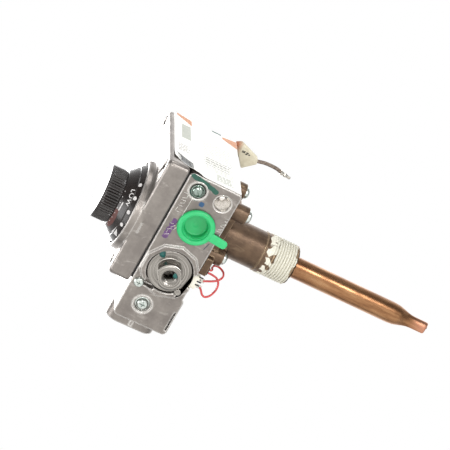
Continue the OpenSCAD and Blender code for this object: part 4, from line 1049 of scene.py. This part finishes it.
def bars(name, boxes, place, lift, height, material, body="valve", drape=None):
    """Raised or printed bars: each row of boxes is a middle (a, b), a length, a width and a
    bearing in degrees on the plane of place, its top drawn in by 0.35 of the height at each
    side; drape(a, b) adds a height that follows a bent sheet."""
    boxes = np.asarray(boxes, float)
    turn = np.radians(boxes[:, 4])[:, None]
    sign = np.array([(-1, -1), (1, -1), (1, 1), (-1, 1)]) / 2
    foot = sign[None] * boxes[:, None, 2:4]
    ease = np.minimum(1.0, height / boxes[:, 3])[:, None, None] * 0.35
    top = foot - sign[None] * 2 * ease * boxes[:, None, 3:4] * 0.5
    both = np.concatenate([foot, top], 1)
    flat = np.stack([both[..., 0] * np.cos(turn) - both[..., 1] * np.sin(turn),
                     both[..., 0] * np.sin(turn) + both[..., 1] * np.cos(turn)], -1)
    flat += boxes[:, None, :2]
    tall = np.broadcast_to(np.repeat([lift, lift + height], 4)[None, :, None], flat.shape[:2] + (1,))
    if drape:
        tall = tall + drape(flat[..., :1], flat[..., 1:])
    place = np.asarray(place, float)
    spots = place[0] + np.concatenate([flat, tall], -1) @ place[1:]
    each = np.array([(0, 1, 5, 4), (1, 2, 6, 5), (2, 3, 7, 6), (3, 0, 4, 7), (4, 5, 6, 7),
                     (3, 2, 1, 0)])
    faces = (each[None] + 8 * np.arange(len(boxes))[:, None, None]).reshape(-1, 4)
    mesh = bpy.data.meshes.new(name)
    mesh.from_pydata((spots.reshape(-1, 3) / 1000).tolist(), [], faces.tolist())
    work = bmesh.new()
    work.from_mesh(mesh)
    bmesh.ops.recalc_face_normals(work, faces=work.faces)
    work.to_mesh(mesh)
    work.free()
    mesh.materials.append(material)
    part = bpy.data.objects.new(name, mesh)
    scene.collection.objects.link(part)
    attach(part, body)
    return part


def words(a0, a1, b0, b1, rows, size, seed):
    """Rows of word-long bars filling a rectangle, lengths drawn from a fixed seed."""
    pick = np.random.default_rng(seed)
    lengths = pick.uniform(0.9, 3.4, (rows, 14))
    ends = np.cumsum(lengths + 0.55, 1)
    middle = a0 + ends - 0.55 - lengths / 2
    level = np.linspace(b1 - size / 2, b0 + size / 2, rows)[:, None] + 0 * middle
    keep = (ends - 0.55 + a0 <= a1).ravel()
    table = np.stack([middle, level, lengths, 0 * level + size, 0 * level], -1).reshape(-1, 5)
    return table[keep]


# Process inks: thin and matt; greys and orange are printed as a light screen
grey_ink = finish("grey_screen_ink", "#8b8986", "#99968f", 0.0, (0.45, 0.6), 2, 0.4, 0.005)
pale_ink = finish("pale_grey_ink", "#b4b7ae", "#bfc2b8", 0.0, (0.45, 0.6), 2, 0.4, 0.005)
strip_ink = finish("mid_grey_ink", "#7b7d7c", "#888a89", 0.0, (0.45, 0.6), 2, 0.4, 0.005)
black_ink = finish("black_print_ink", "#141415", "#1f1f20", 0.0, (0.4, 0.55), 2, 0.4, 0.005)
orange_ink = finish("orange_print_ink", "#c98a64", "#d69c78", 0.0, (0.45, 0.6), 3, 0.4, 0.005)
teal_ink = finish("dark_teal_ink", "#0f4a44", "#16584f", 0.0, (0.4, 0.5), 2, 0.4, 0.005)
bars("label_text_block", np.vstack([words(-71, -50, -5, 31, 14, 0.8, 1),
                                    words(-69.5, -50.5, -11.5, -6.5, 3, 0.8, 2)]),
     SIDE, 0.0, 0.04, pale_ink, drape=label_face)
bars("label_heading_block", words(-69.7, -51, -5, 6.5, 4, 1.0, 5), SIDE, 0.0, 0.045, grey_ink,
     drape=label_face)
bars("label_text_cover", words(-89.3, -81, -4, 6, 5, 0.8, 3), SIDE, 0.0, 0.04, grey_ink,
     drape=label_face)
bars("label_table_block", words(-62.3, -50.4, -23.3, -13.5, 6, 1.2, 4), SIDE, 0.0, 0.04,
     pale_ink, drape=label_face)
bars("label_panel_cover", [(-83.4, 29.5, 6.4, 23.0, 0)], SIDE, 0.0, 0.03, pale_ink,
     drape=label_face)
place = -89.9 + 0.5 * np.arange(22)
low = np.interp(place, *cut_corner) + 0.3
bars("label_bar_panel", np.column_stack([place, low + 4.6, 0 * place + 9.2, 0 * place + 0.52,
                                         0 * place + 90]), SIDE, 0.0, 0.03, strip_ink,
     drape=label_face)
thin = 0.14 + 0.2 * ((np.arange(22) * 7) % 5) / 4
bars("label_bar_pattern", np.column_stack([place, low + 5.4, 0 * place + 7.0, thin,
                                           0 * place + 90]), SIDE, 0.02, 0.03, black_ink,
     drape=label_face)
digits = [(-87.6, -13.0, 80), (-87.2, -15.6, 95), (-86.8, -18.2, 80), (-82.0, -19.0, 85),
          (-81.5, -21.6, 95), (-81.0, -24.0, 90)]
bars("label_bar_digits", [(a, b, 1.7, 1.0, turn) for a, b, turn in digits], SIDE, 0.04, 0.04,
     black_ink, drape=label_face)
bars("label_band_cover", np.column_stack([
    np.linspace(-89.6, -79.4, 18), np.linspace(54.6, 48.6, 18), np.linspace(3.2, 9.0, 18),
    np.full(18, 0.62), np.full(18, 90)]), SIDE, 0.0, 0.03, orange_ink, drape=label_face)
bars("label_band_block", np.column_stack([
    np.linspace(-56.0, -46.0, 18), np.linspace(52.4, 50.2, 18), np.linspace(3.6, 12.0, 18),
    np.full(18, 0.6), np.full(18, 90)]), SIDE, 0.0, 0.03, orange_ink, drape=label_face)
bars("label_edge_dash", [(-60.6, 55.9, 6.8, 1.5, 0)], SIDE, 0.02, 0.06, teal_ink,
     drape=label_face)

bars("flag_print", [
    (34.9, -37.9, 2.4, 0.7, 84), (35.7, -37.9, 2.4, 0.5, 84), (34.4, -35.4, 1.6, 0.8, 84),
    (35.5, -35.2, 1.6, 0.8, 84), (34.8, -33.6, 1.2, 0.9, 84)],
    [(0, 0, 58.4), (1, 0, 0), (0, 1, 0), (0, 0, -1)], -0.02, 0.06, black_ink)

# Raised foundry marks on the underside: generic strokes, rubbed bright on top
rubbed = cast_metal("rubbed_raised_marks", "#c9c4bf", "#d8d4cf", "#f0ede9", (0.3, 0.42))
underside = -29.0
UNDER = [(0, 0, underside), (1, 0, 0), (0, 1, 0), (0, 0, -1)]
bars("raised_marks_front", [
    (12.4, -75.4, 3.4, 0.4, 84), (14.0, -77.0, 2.4, 0.4, 4), (16.6, -75.6, 3.0, 0.4, 88),
    (18.7, -75.4, 3.2, 0.4, 60), (20.6, -75.6, 3.0, 0.4, 92), (22.4, -75.8, 3.2, 0.4, 66),
    (24.6, -74.6, 2.2, 0.4, 4), (25.6, -76.2, 2.8, 0.4, 88), (18.0, -71.6, 14.0, 0.35, 2)],
    UNDER, -0.05, 0.35, rubbed)
bars("raised_marks_rear", [
    (11.6, -47.0, 3.0, 0.4, 80), (13.4, -46.4, 3.0, 0.4, 62), (15.4, -46.4, 2.8, 0.4, 100),
    (17.2, -46.0, 3.0, 0.4, 66), (19.4, -45.9, 2.6, 0.4, 88), (21.6, -45.8, 3.0, 0.4, 74)],
    UNDER, -0.05, 0.35, rubbed)
bars("raised_marks_left", [
    (-4.2, -74.6, 3.2, 0.45, 62), (-2.2, -75.2, 2.4, 0.45, 8), (-0.2, -74.4, 3.0, 0.45, 70),
    (2.2, -73.4, 3.4, 0.45, 40), (3.6, -75.0, 2.4, 0.45, 80), (1.4, -71.6, 3.0, 0.45, 24)],
    UNDER, -0.05, 0.35, rubbed)


def painted(name, path, half, ragged, material, seed, lift=0.05):
    """Brush mark on the underside: a strip of half-width half(t) along a smooth path, its edge
    moved in and out by ragged mm of smooth noise."""
    line = spline([(*p, 0) for p in path], 10)[:, :2]
    along = unit(np.gradient(line, axis=0))
    side = np.stack([-along[:, 1], along[:, 0]], -1)
    t = np.linspace(0, 1, len(line))
    width = np.interp(t, np.linspace(0, 1, len(half)), half)
    width = width * np.sqrt(np.clip(np.minimum(t, 1 - t) * 14, 0, 1))
    across = np.linspace(-1, 1, 7)[:, None]
    rough_edge = ragged * smooth_noise(9 * t[None], across, 9, seed) * np.abs(across)
    spot = line[None] + side[None] * (across * width + rough_edge * (width > 0.3))[..., None]
    points = np.concatenate([spot, np.full(spot.shape[:2] + (1,), underside - lift)], -1)
    return shell(name, points, material, "valve", closed=False, weld=False)


# Paint-pen marks from setting and inspection: thin lacquer that pools at the ends
green_pen = finish("green_paint_pen", "#17463a", "#1f5547", 0.0, (0.35, 0.5), 2.5, 0.5, 0.02)
blue_pen = finish("blue_paint_pen", "#1a4369", "#235077", 0.0, (0.35, 0.5), 2, 0.5, 0.02)
purple_pen = finish("purple_paint_pen", "#4f2f5f", "#6b4a7a", 0.0, (0.4, 0.55), 2, 0.5, 0.02)
dark_pen = finish("dark_marker_line", "#3a3b46", "#4a4a55", 0.0, (0.4, 0.55), 2, 0.5, 0.01)
painted("green_stripe", [(37.9, -79.2), (37.4, -75), (36.5, -70), (35.2, -64.5), (33.9, -58.8)],
        [1.2, 1.7, 1.6, 1.5, 1.7], 0.1, green_pen, 21)
painted("green_round_screw", [(31.5, -76.6), (28.0, -75.7), (25.2, -73.2), (24.3, -69.6),
                              (25.2, -67.6)], [0.5, 0.8, 0.9, 0.8, 0.5], 0.2, green_pen, 22)
painted("blue_dot", [(21.4, -64.7), (23.0, -64.6), (24.6, -64.5)], [1.2, 1.7, 1.2], 0.1, blue_pen, 23)
painted("purple_smear", [(-7.4, -75.4), (-3.0, -74.6), (2.0, -74.4), (7.6, -74.2)],
        [1.6, 1.9, 1.7, 1.4], 0.3, purple_pen, 24, 0.03)
painted("marker_line", [(-3.6, -49.5), (-0.6, -48.6), (1.8, -48.1)], [0.3, 0.35, 0.3], 0.05,
        dark_pen, 25)

# Inspection lacquer: two thick glossy drops, one on the disc's edge and one in the nipple
lacquer = finish("teal_inspection_lacquer", "#083f3d", "#11605a", 0.0, (0.1, 0.22), 1.5, 0.4, 0.01)


def puddle(u, r, h):
    """Drop's radius drawn in and out by a fifth with the bearing."""
    return r * (1 + 0.16 * np.cos(2 * u + 0.6) + 0.07 * np.cos(3 * u))


for name, spot, size in [("lacquer_drop_disc", (-17.4, -70.4, -29.35), 1.0),
                         ("lacquer_drop_nipple", (-23.6, -58.3, -37.4), 0.8)]:
    turned(name, np.array(eased([(0.0, 0.8), (2.2, 0.4), (2.35, -0.2), (1.7, -0.8), (0.0, -1.1)], 0.9))
           * size, spot, "z", lacquer, "valve", sides=40, wave=puddle)
